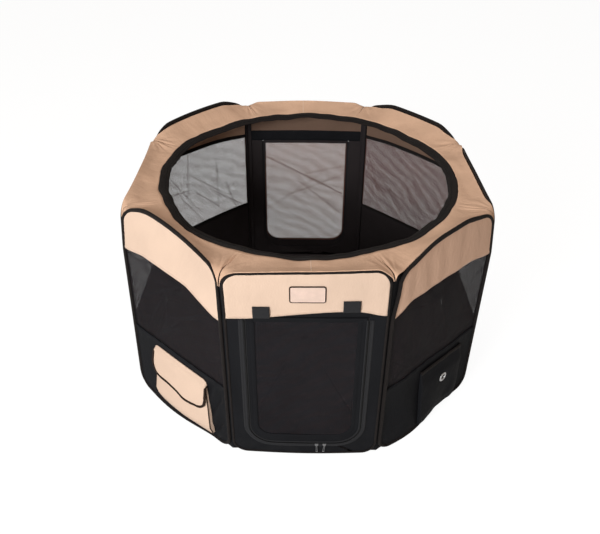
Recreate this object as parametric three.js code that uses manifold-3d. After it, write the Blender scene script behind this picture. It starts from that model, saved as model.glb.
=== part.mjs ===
// A folding fabric pet playpen: eight fabric panels hinged in a ring, each stretched over its own
// sprung steel hoop, with a stitched-in floor, an open top with a zip rim, a zipped mesh door at the
// front and back, a flap pocket on the front left panel and a bottle pocket on the front right.
//
// Millimetres, +Z up, origin in the middle of the floor's underside. The front door faces -Y.
// Each panel is drawn as the front one, facing -Y, in a group that turns it about Z to its place.

import * as THREE from "three";
import { mergeVertices } from "three/addons/utils/BufferGeometryUtils.js";
import Module from "manifold-3d";

// The panels in order, turning anticlockwise seen from above.
const NAMES = ["front", "front_right", "right", "back_right", "back", "back_left", "left", "front_left"];
const DOORS = ["front", "back"];

// ---- Driving dimensions ----
const ACROSS_FLATS = 914; // outside of one panel to the outside of the opposite one
const HEIGHT = 580;
const CORNER_R = 45; // outer radius of a panel's rounded corners
const WIRE_R = 2; // sprung steel hoop
const PIPING_R = 4.5; // folded binding over the hoop
const HOOP_SPACE_R = 3; // room for the hoop inside the fold
const BINDING_W = 9.5; // how far the binding reaches in over the cloth
const CLOTH_T = 1.2;
const FIT = 0.4; // gap between pieces that touch
const HINGE_SET_IN = 1; // the fold line lies this far inside the panels' inner faces
const EDGE_TO_HINGE = 2.5; // from a panel's edge to the fold line beside it

const BAND_Z = 455; // lower edge of the coloured upper band
const SILL_Z = 220; // top of the solid lower cloth

const DOOR_HALF_W = 140;
const DOOR_SILL_Z = 41;
const DOOR_CORNER_R = 60;
const ZIP_GAP = 1.5;

const RING_INNER_R = 398;
const RIM_INNER_R = 377;
const RING_OUTER_Z = 574;
const RING_INNER_Z = 565;
const RIM_INNER_Z = 561;
const RING_T = 1.5;
const RIM_T = 3.5;
const FLOOR_T = 2;

// ---- Worked out from them ----
const PANELS = NAMES.length;
const TURN = (2 * Math.PI) / PANELS;
const HALF_TURN = TURN / 2;
const OUTER_FACE = ACROSS_FLATS / 2;
const MID_PLANE = OUTER_FACE - PIPING_R;
const INNER_FACE = MID_PLANE - PIPING_R;
const HINGE_PLANE = INNER_FACE - HINGE_SET_IN;
const HINGE_X = HINGE_PLANE * Math.tan(HALF_TURN); // half the side of the octagon of fold lines
const PANEL_HALF_W = HINGE_X - EDGE_TO_HINGE;
const CLOTH_IN = MID_PLANE - CLOTH_T / 2;
const CLOTH_OUT = MID_PLANE + CLOTH_T / 2;
const CLOTH_INSET = 8; // the cloth's edge lies this far inside the panel's edge, in the binding

const BEIGE = 0xe6c7ab;
const BLACK = 0x1b1b1e;

function cloth(color) {
  return new THREE.MeshStandardMaterial({ color, roughness: 0.85, metalness: 0 });
}

const MATERIAL = {
  beige: cloth(BEIGE),
  black: cloth(BLACK),
  mesh: cloth(0x2a2a2d),
  binding: cloth(0x15140f),
  wire: new THREE.MeshStandardMaterial({ color: 0x8d9096, roughness: 0.4, metalness: 1 }),
  metal: new THREE.MeshStandardMaterial({ color: 0xc9cbd0, roughness: 0.3, metalness: 1 }),
  patch: new THREE.MeshStandardMaterial({ color: 0xe9cfbd, roughness: 0.6, metalness: 0 }),
};

const wasm = await Module();
wasm.setup();

// ---- Geometry helpers ----

function solid(geometry) {
  const bare = geometry.index ? geometry.clone() : mergeVertices(geometry);
  bare.deleteAttribute("normal");
  bare.deleteAttribute("uv");
  const merged = mergeVertices(bare, 1e-4);
  return new wasm.Manifold(
    new wasm.Mesh({
      numProp: 3,
      vertProperties: new Float32Array(merged.attributes.position.array),
      triVerts: new Uint32Array(merged.index.array),
    }),
  );
}

function geometryOf(manifold) {
  const mesh = manifold.getMesh();
  const geometry = new THREE.BufferGeometry();
  geometry.setAttribute("position", new THREE.BufferAttribute(mesh.vertProperties, 3));
  geometry.setIndex(new THREE.BufferAttribute(mesh.triVerts, 1));
  geometry.computeVertexNormals();
  return geometry;
}

// A flat sheet in a panel's plane, from its outline in X and Z. Its inner face lies inFace from the axis.
function sheet(shape, inFace = CLOTH_IN, thickness = CLOTH_T, curveSegments = 2) {
  const geometry = new THREE.ExtrudeGeometry(shape, { depth: thickness, bevelEnabled: false, curveSegments });
  return geometry.rotateX(Math.PI / 2).translate(0, -inFace, 0);
}

// A prism along X between x0 and x1, from its outline as [distance out from the axis, z].
function prismAlongX(outline, x0, x1) {
  const shape = new THREE.Shape(outline.map(([out, z]) => new THREE.Vector2(out, z)));
  const geometry = new THREE.ExtrudeGeometry(shape, { depth: x1 - x0, bevelEnabled: false });
  const out = new THREE.Vector3(0, -1, 0);
  const up = new THREE.Vector3(0, 0, 1);
  const along = new THREE.Vector3(-1, 0, 0);
  return geometry.applyMatrix4(new THREE.Matrix4().makeBasis(out, up, along)).translate(x1, 0, 0);
}

// A closed loop of matching cross-sections, each a ring of points.
function loft(sections) {
  const n = sections.length;
  const m = sections[0].length;
  const index = [];
  for (let i = 0; i < n; i++) {
    const next = (i + 1) % n;
    for (let j = 0; j < m; j++) {
      const k = (j + 1) % m;
      index.push(i * m + j, next * m + j, next * m + k);
      index.push(i * m + j, next * m + k, i * m + k);
    }
  }
  const geometry = new THREE.BufferGeometry().setFromPoints(sections.flat());
  geometry.setIndex(index);
  geometry.computeVertexNormals();
  return geometry;
}

// Points round an arc, [cos, sin] scaled by radius about a centre, both ends included.
function arc(centre, radius, from, to, steps) {
  return Array.from({ length: steps + 1 }, (_, i) => {
    const angle = THREE.MathUtils.degToRad(from + ((to - from) * i) / steps);
    return [centre[0] + radius * Math.cos(angle), centre[1] + radius * Math.sin(angle)];
  });
}

// Sweeps a section, as [outwards in the panel's plane, along its normal], round the panel's edge.
function sweepRoundEdge(section, steps) {
  const dx = PANEL_HALF_W - CORNER_R;
  const dz = HEIGHT / 2 - CORNER_R;
  const corners = [[1, 1], [-1, 1], [-1, -1], [1, -1]];
  const stations = corners.flatMap(([sx, sz], quarter) =>
    arc([0, 0], 1, 90 * quarter, 90 * (quarter + 1), steps).map(([nx, nz]) =>
      section.map(([outwards, normal]) =>
        new THREE.Vector3(
          sx * dx + nx * (CORNER_R + outwards),
          -MID_PLANE + normal,
          HEIGHT / 2 + sz * dz + nz * (CORNER_R + outwards),
        ),
      ),
    ),
  );
  return loft(stations);
}

// ---- Outlines in a panel's plane ----

// The part of a panel's cloth above z, with the two rounded top corners.
function upperOutline(z) {
  const x = PANEL_HALF_W - CLOTH_INSET;
  const top = HEIGHT - CLOTH_INSET;
  const r = CORNER_R - CLOTH_INSET;
  const shape = new THREE.Shape();
  shape.moveTo(-x, z);
  shape.lineTo(x, z);
  shape.absarc(x - r, top - r, r, 0, Math.PI / 2, false);
  shape.absarc(-x + r, top - r, r, Math.PI / 2, Math.PI, false);
  shape.closePath();
  return shape;
}

// The part below z, with the two rounded bottom corners.
function lowerOutline(z) {
  const x = PANEL_HALF_W - CLOTH_INSET;
  const r = CORNER_R - CLOTH_INSET;
  const shape = new THREE.Shape();
  shape.moveTo(x, z);
  shape.lineTo(-x, z);
  shape.absarc(-x + r, CLOTH_INSET + r, r, Math.PI, 1.5 * Math.PI, false);
  shape.absarc(x - r, CLOTH_INSET + r, r, 1.5 * Math.PI, 2 * Math.PI, false);
  shape.closePath();
  return shape;
}

function doorOutline(halfWidth, sill, top) {
  const r = DOOR_CORNER_R;
  const shape = new THREE.Shape();
  shape.moveTo(halfWidth, top);
  shape.lineTo(-halfWidth, top);
  shape.absarc(-halfWidth + r, sill + r, r, Math.PI, 1.5 * Math.PI, false);
  shape.absarc(halfWidth - r, sill + r, r, 1.5 * Math.PI, 2 * Math.PI, false);
  shape.closePath();
  return shape;
}

function roundedBox(x0, x1, z0, z1, r) {
  const shape = new THREE.Shape();
  shape.moveTo(x0 + r, z0);
  shape.absarc(x1 - r, z0 + r, r, -Math.PI / 2, 0, false);
  shape.absarc(x1 - r, z1 - r, r, 0, Math.PI / 2, false);
  shape.absarc(x0 + r, z1 - r, r, Math.PI / 2, Math.PI, false);
  shape.absarc(x0 + r, z0 + r, r, Math.PI, 1.5 * Math.PI, false);
  return shape;
}

function rectangle(x0, x1, z0, z1) {
  return new THREE.Shape([
    new THREE.Vector2(x0, z0),
    new THREE.Vector2(x1, z0),
    new THREE.Vector2(x1, z1),
    new THREE.Vector2(x0, z1),
  ]);
}

// ---- Panel pieces ----

function hoop() {
  const section = arc([-PIPING_R, 0], WIRE_R, 0, -300, 5);
  return sweepRoundEdge(section, 4);
}

// Tape folded over the hoop, its two legs either side of the cloth.
function binding() {
  const slot = CLOTH_T / 2 + FIT;
  const leg = slot + 1.5;
  const mouth = THREE.MathUtils.radToDeg(Math.asin(slot / HOOP_SPACE_R));
  const section = [
    ...arc([-PIPING_R, 0], PIPING_R, 90, -90, 4),
    [-BINDING_W, -leg],
    [-BINDING_W, -slot],
    ...arc([-PIPING_R, 0], HOOP_SPACE_R, -180 + mouth, 180 - mouth, 4),
    [-BINDING_W, slot],
    [-BINDING_W, leg],
  ];
  return sweepRoundEdge(section, 4);
}

function upperBand() {
  return sheet(upperOutline(BAND_Z));
}

function lowerCloth() {
  return sheet(lowerOutline(SILL_Z));
}

function windowMesh() {
  const x = PANEL_HALF_W - CLOTH_INSET;
  return sheet(rectangle(-x, x, SILL_Z + FIT, BAND_Z - FIT));
}

// Lower cloth with the door's opening cut in it.
function doorSurround() {
  const whole = solid(sheet(lowerOutline(BAND_Z - FIT)));
  const cut = doorOutline(DOOR_HALF_W, DOOR_SILL_Z, BAND_Z + 10);
  const opening = solid(sheet(cut, CLOTH_IN - 5, CLOTH_T + 10, 3));
  return geometryOf(whole.subtract(opening));
}

function doorMesh() {
  const outline = doorOutline(DOOR_HALF_W - ZIP_GAP, DOOR_SILL_Z + ZIP_GAP, BAND_Z - ZIP_GAP);
  return sheet(outline, CLOTH_IN, CLOTH_T, 3);
}

// Cloth that joins a panel to the next one, tucked behind both bindings and creased on the fold line.
function hingeStrip() {
  const tuck = 6;
  const r = CORNER_R - tuck;
  const x = PANEL_HALF_W - tuck;
  const low = 10;
  const high = HEIGHT - CORNER_R - 2;
  const drop = Math.asin((CORNER_R - low) / r);
  const half = new THREE.Shape();
  half.moveTo(HINGE_X, low);
  half.lineTo(HINGE_X, high);
  half.lineTo(x, high);
  half.absarc(x - r, CORNER_R, r, 0, -drop, true);
  half.closePath();
  const plate = sheet(half, HINGE_PLANE - CLOTH_T / 2, CLOTH_T);
  const mirrored = sheet(flipped(half), HINGE_PLANE - CLOTH_T / 2, CLOTH_T).rotateZ(TURN);
  return geometryOf(solid(plate).add(solid(mirrored)));
}

function flipped(shape) {
  const points = shape.getPoints(2).map((p) => new THREE.Vector2(-p.x, p.y));
  return new THREE.Shape(points.reverse());
}

// ---- Pieces on the panels ----

const TAB = { x: 100, width: 38, low: 458, high: 484, thickness: 2 };
const PATCH = { x: 2, z: 514, width: 84, height: 46, radius: 6, thickness: 2 };

function strapTab(x) {
  return sheet(
    rectangle(x - TAB.width / 2, x + TAB.width / 2, TAB.low, TAB.high),
    CLOTH_OUT + FIT,
    TAB.thickness,
  );
}

function badgePatch() {
  const { x, z, width, height, radius, thickness } = PATCH;
  return sheet(
    roundedBox(x - width / 2, x + width / 2, z - height / 2, z + height / 2, radius),
    CLOTH_OUT + FIT,
    thickness,
  );
}

// A zip slider's body with its pull hanging below, flat against the cloth.
const SLIDER = { width: 9, low: 31, high: 40.5, thickness: 3.2, pullWidth: 6, pullLow: 12, pullThickness: 1.4 };

function zipSlider(x) {
  const { width, low, high, thickness, pullWidth, pullLow, pullThickness } = SLIDER;
  const face = CLOTH_OUT + FIT;
  const body = sheet(roundedBox(x - width / 2, x + width / 2, low, high, 2.5), face, thickness);
  const pull = sheet(roundedBox(x - pullWidth / 2, x + pullWidth / 2, pullLow, low + 2, 2.5), face + 1, pullThickness);
  return geometryOf(solid(body).add(solid(pull)));
}

// An open-topped pocket against the panel's cloth: a front, two sides and a bottom.
function pocketShell({ x0, x1, low, high, topDepth, bottomDepth, wall }) {
  const back = CLOTH_OUT + FIT;
  const outer = [
    [back, low],
    [back + bottomDepth, low],
    [back + topDepth, high],
    [back, high],
  ];
  const past = 10;
  const inner = [
    [back - past, low + wall],
    [back + bottomDepth - wall, low + wall],
    [back + topDepth - wall, high + past],
    [back - past, high + past],
  ];
  return solid(prismAlongX(outer, x0, x1)).subtract(solid(prismAlongX(inner, x0 + wall, x1 - wall)));
}

const TREAT = { x0: -100, x1: 128, low: 36, high: 176, topDepth: 9, bottomDepth: 20, wall: 1.2 };
const FLAP = { x0: -104, x1: 132, hinge: 197, bend: 184, low: 109, radius: 24, thickness: 1.6 };
const BOTTLE = { x0: -46, x1: 118, low: 14, high: 190, topDepth: 16, bottomDepth: 16, wall: 1.4 };
const EYELET = { x: 42, z: 130, innerR: 7.5, barrelR: 8.8, flangeR: 14, flangeT: 1.6 };

function treatPocket() {
  return geometryOf(pocketShell(TREAT));
}

// The flap runs out over the pocket's mouth and hangs down its front.
function treatFlap() {
  const { x0, x1, hinge, bend, low, radius, thickness } = FLAP;
  const root = CLOTH_OUT + FIT;
  const knee = root + TREAT.topDepth + 3;
  const toe = root + TREAT.bottomDepth - 1;
  const bent = solid(
    prismAlongX(
      [[root, hinge], [root, hinge - thickness], [knee, bend - thickness], [toe, low],
        [toe + thickness, low], [knee + thickness, bend]],
      x0,
      x1,
    ),
  );
  const rounded = roundedBox(x0, x1, low, hinge + radius + 1, radius);
  const outline = solid(sheet(rounded, root - 10, 60));
  return geometryOf(bent.intersect(outline));
}

function bottlePocket() {
  const hole = new THREE.Shape().absarc(EYELET.x, EYELET.z, EYELET.barrelR + FIT, 0, 2 * Math.PI, false);
  const drill = solid(sheet(hole, CLOTH_OUT + 10, 30, 10));
  return geometryOf(pocketShell(BOTTLE).subtract(drill));
}

// Flanged metal eyelet through the bottle pocket's front.
function eyelet() {
  const { x, z, innerR, barrelR, flangeR, flangeT } = EYELET;
  const face = BOTTLE.topDepth + FIT;
  const through = BOTTLE.wall + 2 * FIT + 1;
  const profile = [
    [innerR, -through], [barrelR, -through], [barrelR, 0], [flangeR, 0], [flangeR, flangeT], [innerR, flangeT],
    [innerR, -through],
  ].map(([r, y]) => new THREE.Vector2(r, y));
  // A lathe turns about +Y, and the eyelet faces out along -Y.
  return new THREE.LatheGeometry(profile, 20)
    .rotateX(Math.PI)
    .translate(x, -(CLOTH_OUT + FIT + face), z);
}

// ---- Pieces round the whole pen ----

// How far along each panel the ring's cross-sections lie, from one fold line to just short of the next.
const ALONG = [-HINGE_X, -178, -172, -161, -148, -133, -66, 0, 66, 133, 148, 161, 172, 178];

// A band round the pen. The section comes from a function of the distance along a panel, as corners
// [apothem, z], with the apothem left as a plain radius where the corner is marked round.
function bandRoundPen(sectionAt) {
  const sections = NAMES.flatMap((_, i) =>
    ALONG.map((x) => {
      const bearing = i * TURN - Math.PI / 2 + Math.atan2(x, HINGE_PLANE);
      const widen = Math.hypot(x, HINGE_PLANE) / HINGE_PLANE;
      return sectionAt(x).map(({ r, z, round }) => {
        const radius = round ? r : r * widen;
        return new THREE.Vector3(radius * Math.cos(bearing), radius * Math.sin(bearing), z);
      });
    }),
  );
  return loft(sections);
}

// The ring's outer edge follows the panels' rounded tops and dips between them.
function ringEdgeZ(x) {
  const r = CORNER_R - (HEIGHT - RING_OUTER_Z);
  const past = Math.max(0, Math.abs(x) - (PANEL_HALF_W - CORNER_R));
  const dip = past < r ? r - Math.sqrt(r * r - past * past) : r;
  return RING_OUTER_Z - dip;
}

function topRing() {
  return bandRoundPen((x) => [
    { r: INNER_FACE - FIT, z: ringEdgeZ(x) - RING_T },
    { r: INNER_FACE - FIT, z: ringEdgeZ(x) },
    { r: RING_INNER_R + FIT, z: RING_INNER_Z, round: true },
    { r: RING_INNER_R + FIT, z: RING_INNER_Z - RING_T, round: true },
  ]);
}

// Black binding with one half of the cover's zip, round the opening.
function rimZip() {
  return bandRoundPen(() => [
    { r: RING_INNER_R, z: RING_INNER_Z - RIM_T, round: true },
    { r: RING_INNER_R, z: RING_INNER_Z, round: true },
    { r: RIM_INNER_R, z: RIM_INNER_Z, round: true },
    { r: RIM_INNER_R, z: RIM_INNER_Z - RIM_T, round: true },
  ]);
}

function floorCloth() {
  const apothem = INNER_FACE - 2;
  const corner = apothem / Math.cos(HALF_TURN);
  return new THREE.CylinderGeometry(corner, corner, FLOOR_T, PANELS)
    .rotateX(Math.PI / 2)
    .rotateZ(HALF_TURN)
    .translate(0, 0, FLOOR_T / 2);
}

// ---- Assembly ----

const pen = new THREE.Group();

function put(group, name, geometry, material) {
  const mesh = new THREE.Mesh(geometry, material);
  mesh.name = name;
  group.add(mesh);
}

const panel = {};

NAMES.forEach((name, i) => {
  const group = new THREE.Group();
  group.rotation.z = i * TURN;
  pen.add(group);
  panel[name] = group;
  put(group, `${name}_hoop`, hoop(), MATERIAL.wire);
  put(group, `${name}_binding`, binding(), MATERIAL.binding);
  put(group, `${name}_upper_band`, upperBand(), MATERIAL.beige);
  if (DOORS.includes(name)) {
    put(group, `${name}_door_surround`, doorSurround(), MATERIAL.black);
    put(group, `${name}_door_mesh`, doorMesh(), MATERIAL.mesh);
  } else {
    put(group, `${name}_lower_cloth`, lowerCloth(), MATERIAL.black);
    put(group, `${name}_window_mesh`, windowMesh(), MATERIAL.mesh);
  }
  const next = NAMES[(i + 1) % PANELS];
  put(group, `hinge_strip_${name}_to_${next}`, hingeStrip(), MATERIAL.black);
});

put(panel.front, "strap_tab_left", strapTab(-TAB.x), MATERIAL.binding);
put(panel.front, "strap_tab_right", strapTab(TAB.x), MATERIAL.binding);
put(panel.front, "badge_patch", badgePatch(), MATERIAL.patch);
put(panel.front, "zip_slider_left", zipSlider(31), MATERIAL.metal);
put(panel.front, "zip_slider_right", zipSlider(51), MATERIAL.metal);
put(panel.front_left, "treat_pocket", treatPocket(), MATERIAL.beige);
put(panel.front_left, "treat_pocket_flap", treatFlap(), MATERIAL.beige);
put(panel.front_right, "bottle_pocket", bottlePocket(), MATERIAL.black);
put(panel.front_right, "bottle_pocket_eyelet", eyelet(), MATERIAL.metal);
put(pen, "top_ring", topRing(), MATERIAL.beige);
put(pen, "rim_zip", rimZip(), MATERIAL.binding);
put(pen, "floor", floorCloth(), MATERIAL.black);

export default pen;
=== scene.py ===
import math

import bmesh
import bpy
import numpy as np
from mathutils import Matrix, Vector, noise


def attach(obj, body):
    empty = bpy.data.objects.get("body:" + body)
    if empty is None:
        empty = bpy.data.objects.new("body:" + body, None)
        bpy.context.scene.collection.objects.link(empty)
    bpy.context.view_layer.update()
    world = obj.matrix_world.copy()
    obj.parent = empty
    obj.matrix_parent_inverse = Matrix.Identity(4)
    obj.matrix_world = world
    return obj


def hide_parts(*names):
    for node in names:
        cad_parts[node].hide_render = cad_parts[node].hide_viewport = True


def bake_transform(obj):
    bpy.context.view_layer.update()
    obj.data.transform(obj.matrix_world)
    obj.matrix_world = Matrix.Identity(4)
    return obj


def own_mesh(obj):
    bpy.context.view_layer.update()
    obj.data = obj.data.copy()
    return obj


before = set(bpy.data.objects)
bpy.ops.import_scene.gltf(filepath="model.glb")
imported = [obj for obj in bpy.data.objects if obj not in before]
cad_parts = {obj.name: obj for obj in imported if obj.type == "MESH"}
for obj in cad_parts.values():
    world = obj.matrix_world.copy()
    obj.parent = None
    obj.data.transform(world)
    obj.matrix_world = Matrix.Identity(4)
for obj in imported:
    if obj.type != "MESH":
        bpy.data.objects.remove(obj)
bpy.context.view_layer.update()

# ---------------------------------------------------------------- sizes, in metres, as in the CAD part

NAMES = ["front", "front_right", "right", "back_right", "back", "back_left", "left", "front_left"]
DOORS = (0, 4)
TURN = math.radians(45)
HEIGHT = 0.580
CORNER_R = 0.039
WIRE_R = 0.002
WIRE_IN = 0.0030
MID = 0.4525
INNER = 0.448
HINGE_PLANE = 0.447
HINGE_X = HINGE_PLANE * math.tan(TURN / 2)
HALF_W = HINGE_X - 0.0008
INSET = 0.0034
CLOTH_OUT = MID + 0.0006
BAND_Z = 0.455
SILL_Z = 0.220
DOOR_X = 0.140
DOOR_SILL = 0.041
DOOR_R = 0.060
RING_R = 0.398
RING_OUT_Z = 0.574
RING_IN_Z = 0.565
BAND_THICK = 0.0024
CLOTH_THICK = 0.0016
MESH_THICK = 0.0003

# How far each panel springs out at its middle, and how far the top of its hoop is then pulled back in.
BOW_OUT = [0.003, 0.006, 0.004, 0.016, 0.004, 0.024, 0.004, 0.006]
PULL_IN = [0.0, 0.006, 0.008, 0.0, 0.0, 0.0, 0.012, 0.024]

# How far the top of each hoop has sprung up: at its left end, its middle and its right end, and the
# places (as shares of half the panel) where the left shoulder ends and the right one begins.
FLAT_ARCH = (0.0, 0.005, 0.0, 0.0, 0.0)
ARCH = {
    0: (0.0, 0.005, 0.010, 0.0, 0.0),
    1: (-0.010, 0.025, 0.0, -0.1, 0.3),
    3: (0.0, 0.025, 0.0, -0.5, 0.4),
    5: (0.0, 0.025, 0.005, -0.5, 0.6),
    7: (0.0, 0.025, 0.005, -0.5, -0.5),
}

# How far a corner is pushed out at its foot, at the band's edge and at its top.
# Corner k lies between panels k and k + 1.
PUSH_Z = (0.0, BAND_Z, HEIGHT)
PUSH = {
    0: (0.004, 0.010, 0.012),
    1: (0.010, 0.020, 0.012),
    2: (0.0, -0.004, -0.012),
    5: (0.0, -0.004, -0.012),
    6: (0.017, 0.014, 0.006),
    7: (0.0, 0.008, 0.015),
}

# Where a panel's cloth bellies out near the floor: middle, half width, depth. It dies away with
# height over about BELLY_TOP.
BELLY_TOP = 0.11
BELLY = {0: (0.0, 0.18, 0.006), 7: (-0.03, 0.150, 0.014), 1: (-0.07, 0.115, 0.015)}


def smooth(a, b, x):
    """0 before a, 1 past b and an S-shaped step between them."""
    t = np.clip((np.asarray(x, float) - a) / (b - a), 0, 1)
    return t * t * (3 - 2 * t)


def wob(x, y=0.0, seed=0.0):
    """Smooth noise about 0, a different field for each seed."""
    return noise.noise(Vector((x, y, seed * 3.71 + 0.37)))


def at(k, x, d, z):
    """A point of panel k: x along it, d out from the pen's axis, z up."""
    c, s = math.cos(k * TURN), math.sin(k * TURN)
    return (x * c + d * s, x * s - d * c, z)


def pushed(k, x, z):
    """How far (across the panel, outwards) the pushed-out corners move a point."""
    out = np.zeros(2)
    for corner, share in (((k - 1) % 8, 0.5 - x / (2 * HINGE_X)), (k, 0.5 + x / (2 * HINGE_X))):
        if corner in PUSH:
            amount = float(np.interp(z, PUSH_Z, PUSH[corner])) * min(max(share, 0.0), 1.0)
            side = 1 if corner == k else -1
            out += amount * np.array((side * math.sin(TURN / 2), math.cos(TURN / 2)))
    return out


def shoulders(u, left, middle, right, near, far):
    """A value that runs round-shouldered from a panel's left end over its middle to its right end."""
    first, last = float(smooth(-1, near, u)), float(smooth(far, 1, u))
    return left + (middle - left) * first + (right - middle) * last


def arch_up(k, x):
    """How far the hoop's top has sprung up at x."""
    return shoulders(x / HALF_W, *ARCH.get(k, FLAT_ARCH))


def leaned(k, x, z):
    """How far the front right hoop's upper end leans away from the door."""
    return 0.016 * float(smooth(0.43, 0.54, z) * smooth(0.05, 0.18, -x)) if k == 1 else 0.0


def bowed(k, x, d, z):
    """A point of panel k once its hoop and cloth have sprung out of the flat."""
    arch = max(0.0, 1 - (x / HALF_W) ** 2)
    v = min(max(z / HEIGHT, 0.0), 1.05)
    dx, dd = pushed(k, x, z)
    d += BOW_OUT[k] * arch * (0.15 + 0.85 * v) + dd
    if k in BELLY:
        middle, reach, depth = BELLY[k]
        across = max(0.0, 1 - ((x - middle) / reach) ** 2) ** 1.5
        d += depth * across * math.exp(-((z / BELLY_TOP) ** 2)) * min(1.0, arch * 4)
    d -= PULL_IN[k] * arch * float(smooth(0.78, 1.0, v))
    return at(k, x + dx + leaned(k, x, z), d, z + arch_up(k, x) * v**8)


# ---------------------------------------------------------------- camera, light and floor

scene = bpy.context.scene
scene.view_settings.view_transform = "Standard"

camera_data = bpy.data.cameras.new("camera")
camera_data.lens = 45.42
camera_data.sensor_width = 36
camera = bpy.data.objects.new("camera", camera_data)
scene.collection.objects.link(camera)
camera.matrix_world = (
    Matrix.Translation((-0.0149, -1.7941, 1.5340))
    @ Matrix.Rotation(math.radians(90 - 35.216), 4, "X")
    @ Matrix.Rotation(math.radians(0.535), 4, "Z")
)
scene.camera = camera


def area_light(name, place, target, size, power, colour=(1, 1, 1)):
    data = bpy.data.lights.new(name, "AREA")
    data.shape = "DISK"
    data.size = size
    data.energy = power
    data.color = colour
    lamp = bpy.data.objects.new(name, data)
    lamp.location = place
    lamp.rotation_euler = (Vector(target) - Vector(place)).to_track_quat("-Z", "Y").to_euler()
    scene.collection.objects.link(lamp)
    return lamp


area_light("key", (-1.75, -3.2, 1.95), (0, 0, 0.35), 1.5, 147, (0.955, 0.99, 1.0))
area_light("top", (0.2, 0.1, 3.2), (0, 0, 0.5), 2.4, 30)
area_light("fill", (2.6, -2.6, 1.3), (0, 0, 0.3), 2.0, 4, (1, 0.86, 0.72))

world = bpy.data.worlds.new("studio")
scene.world = world
world.use_nodes = True
wt = world.node_tree
wt.nodes.clear()
w_out = wt.nodes.new("ShaderNodeOutputWorld")
w_mix = wt.nodes.new("ShaderNodeMixShader")
w_seen = wt.nodes.new("ShaderNodeBackground")
w_lit = wt.nodes.new("ShaderNodeBackground")
w_path = wt.nodes.new("ShaderNodeLightPath")
w_seen.inputs["Color"].default_value = (1, 1, 1, 1)
w_lit.inputs["Color"].default_value = (1, 0.83, 0.67, 1)
w_lit.inputs["Strength"].default_value = 0.27
wt.links.new(w_path.outputs["Is Camera Ray"], w_mix.inputs["Fac"])
wt.links.new(w_lit.outputs[0], w_mix.inputs[1])
wt.links.new(w_seen.outputs[0], w_mix.inputs[2])
wt.links.new(w_mix.outputs[0], w_out.inputs["Surface"])


# ---------------------------------------------------------------- materials


class Nodes:
    """A little shorthand for building a node material."""

    def __init__(self, name):
        self.material = bpy.data.materials.new(name)
        self.material.use_nodes = True
        self.tree = self.material.node_tree
        self.shader = self.tree.nodes["Principled BSDF"]
        self.output = self.tree.nodes["Material Output"]

    def add(self, kind, **values):
        node = self.tree.nodes.new("ShaderNode" + kind)
        for key, value in values.items():
            setattr(node, key, value)
        return node

    def set(self, socket, value):
        if hasattr(value, "is_output"):
            self.tree.links.new(value, socket)
        else:
            socket.default_value = value

    def math(self, operation, a, b=0.0, c=0.0):
        node = self.add("Math", operation=operation)
        self.set(node.inputs[0], a)
        self.set(node.inputs[1], b)
        self.set(node.inputs[2], c)
        return node.outputs[0]

    def uv(self, scale=1.0, turn=0.0):
        source = self.add("UVMap", uv_map="weave")
        place = self.add("Mapping")
        scales = scale if hasattr(scale, "__len__") else (scale, scale, scale)
        place.inputs["Scale"].default_value = scales
        place.inputs["Rotation"].default_value = (0, 0, math.radians(turn))
        self.tree.links.new(source.outputs[0], place.inputs[0])
        return place.outputs[0]

    def noise(self, vector, scale, detail=3.0, rough=0.55):
        node = self.add("TexNoise")
        self.set(node.inputs["Vector"], vector)
        node.inputs["Scale"].default_value = scale
        node.inputs["Detail"].default_value = detail
        node.inputs["Roughness"].default_value = rough
        return node.outputs["Fac"]

    def wave(self, vector, scale, direction, distortion=0.0):
        node = self.add("TexWave", bands_direction=direction)
        self.set(node.inputs["Vector"], vector)
        node.inputs["Scale"].default_value = scale
        node.inputs["Distortion"].default_value = distortion
        return node.outputs["Fac"]

    def span(self, value, a, b, c=0.0, d=1.0):
        node = self.add("MapRange")
        self.set(node.inputs["Value"], value)
        for socket, number in zip(("From Min", "From Max", "To Min", "To Max"), (a, b, c, d)):
            self.set(node.inputs[socket], number)
        return node.outputs["Result"]

    def mix(self, amount, a, b, blend="MIX"):
        node = self.add("Mix", data_type="RGBA", blend_type=blend)
        self.set(node.inputs["Factor"], amount)
        self.set(node.inputs[6], a)
        self.set(node.inputs[7], b)
        return node.outputs[2]

    def bump(self, height, strength, distance, under=None):
        node = self.add("Bump")
        self.set(node.inputs["Height"], height)
        node.inputs["Strength"].default_value = strength
        node.inputs["Distance"].default_value = distance
        if under is not None:
            self.tree.links.new(under, node.inputs["Normal"])
        return node.outputs["Normal"]

    def attribute(self, name):
        return self.add("Attribute", attribute_name=name).outputs["Fac"]


def rgba(c, k=1.0):
    return (c[0] * k, c[1] * k, c[2] * k, 1.0)


def weave_height(n, pitch):
    """Plain weave: warp and weft cross at a pitch in metres."""
    uv = n.uv(1 / pitch)
    split = n.add("SeparateXYZ")
    n.tree.links.new(uv, split.inputs[0])
    su = n.math("SINE", n.math("MULTIPLY", split.outputs[0], math.pi))
    sv = n.math("SINE", n.math("MULTIPLY", split.outputs[1], math.pi))
    over = n.math("MULTIPLY", su, sv)
    return n.math("ADD", n.math("MULTIPLY", over, 0.5), 0.5)


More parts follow.
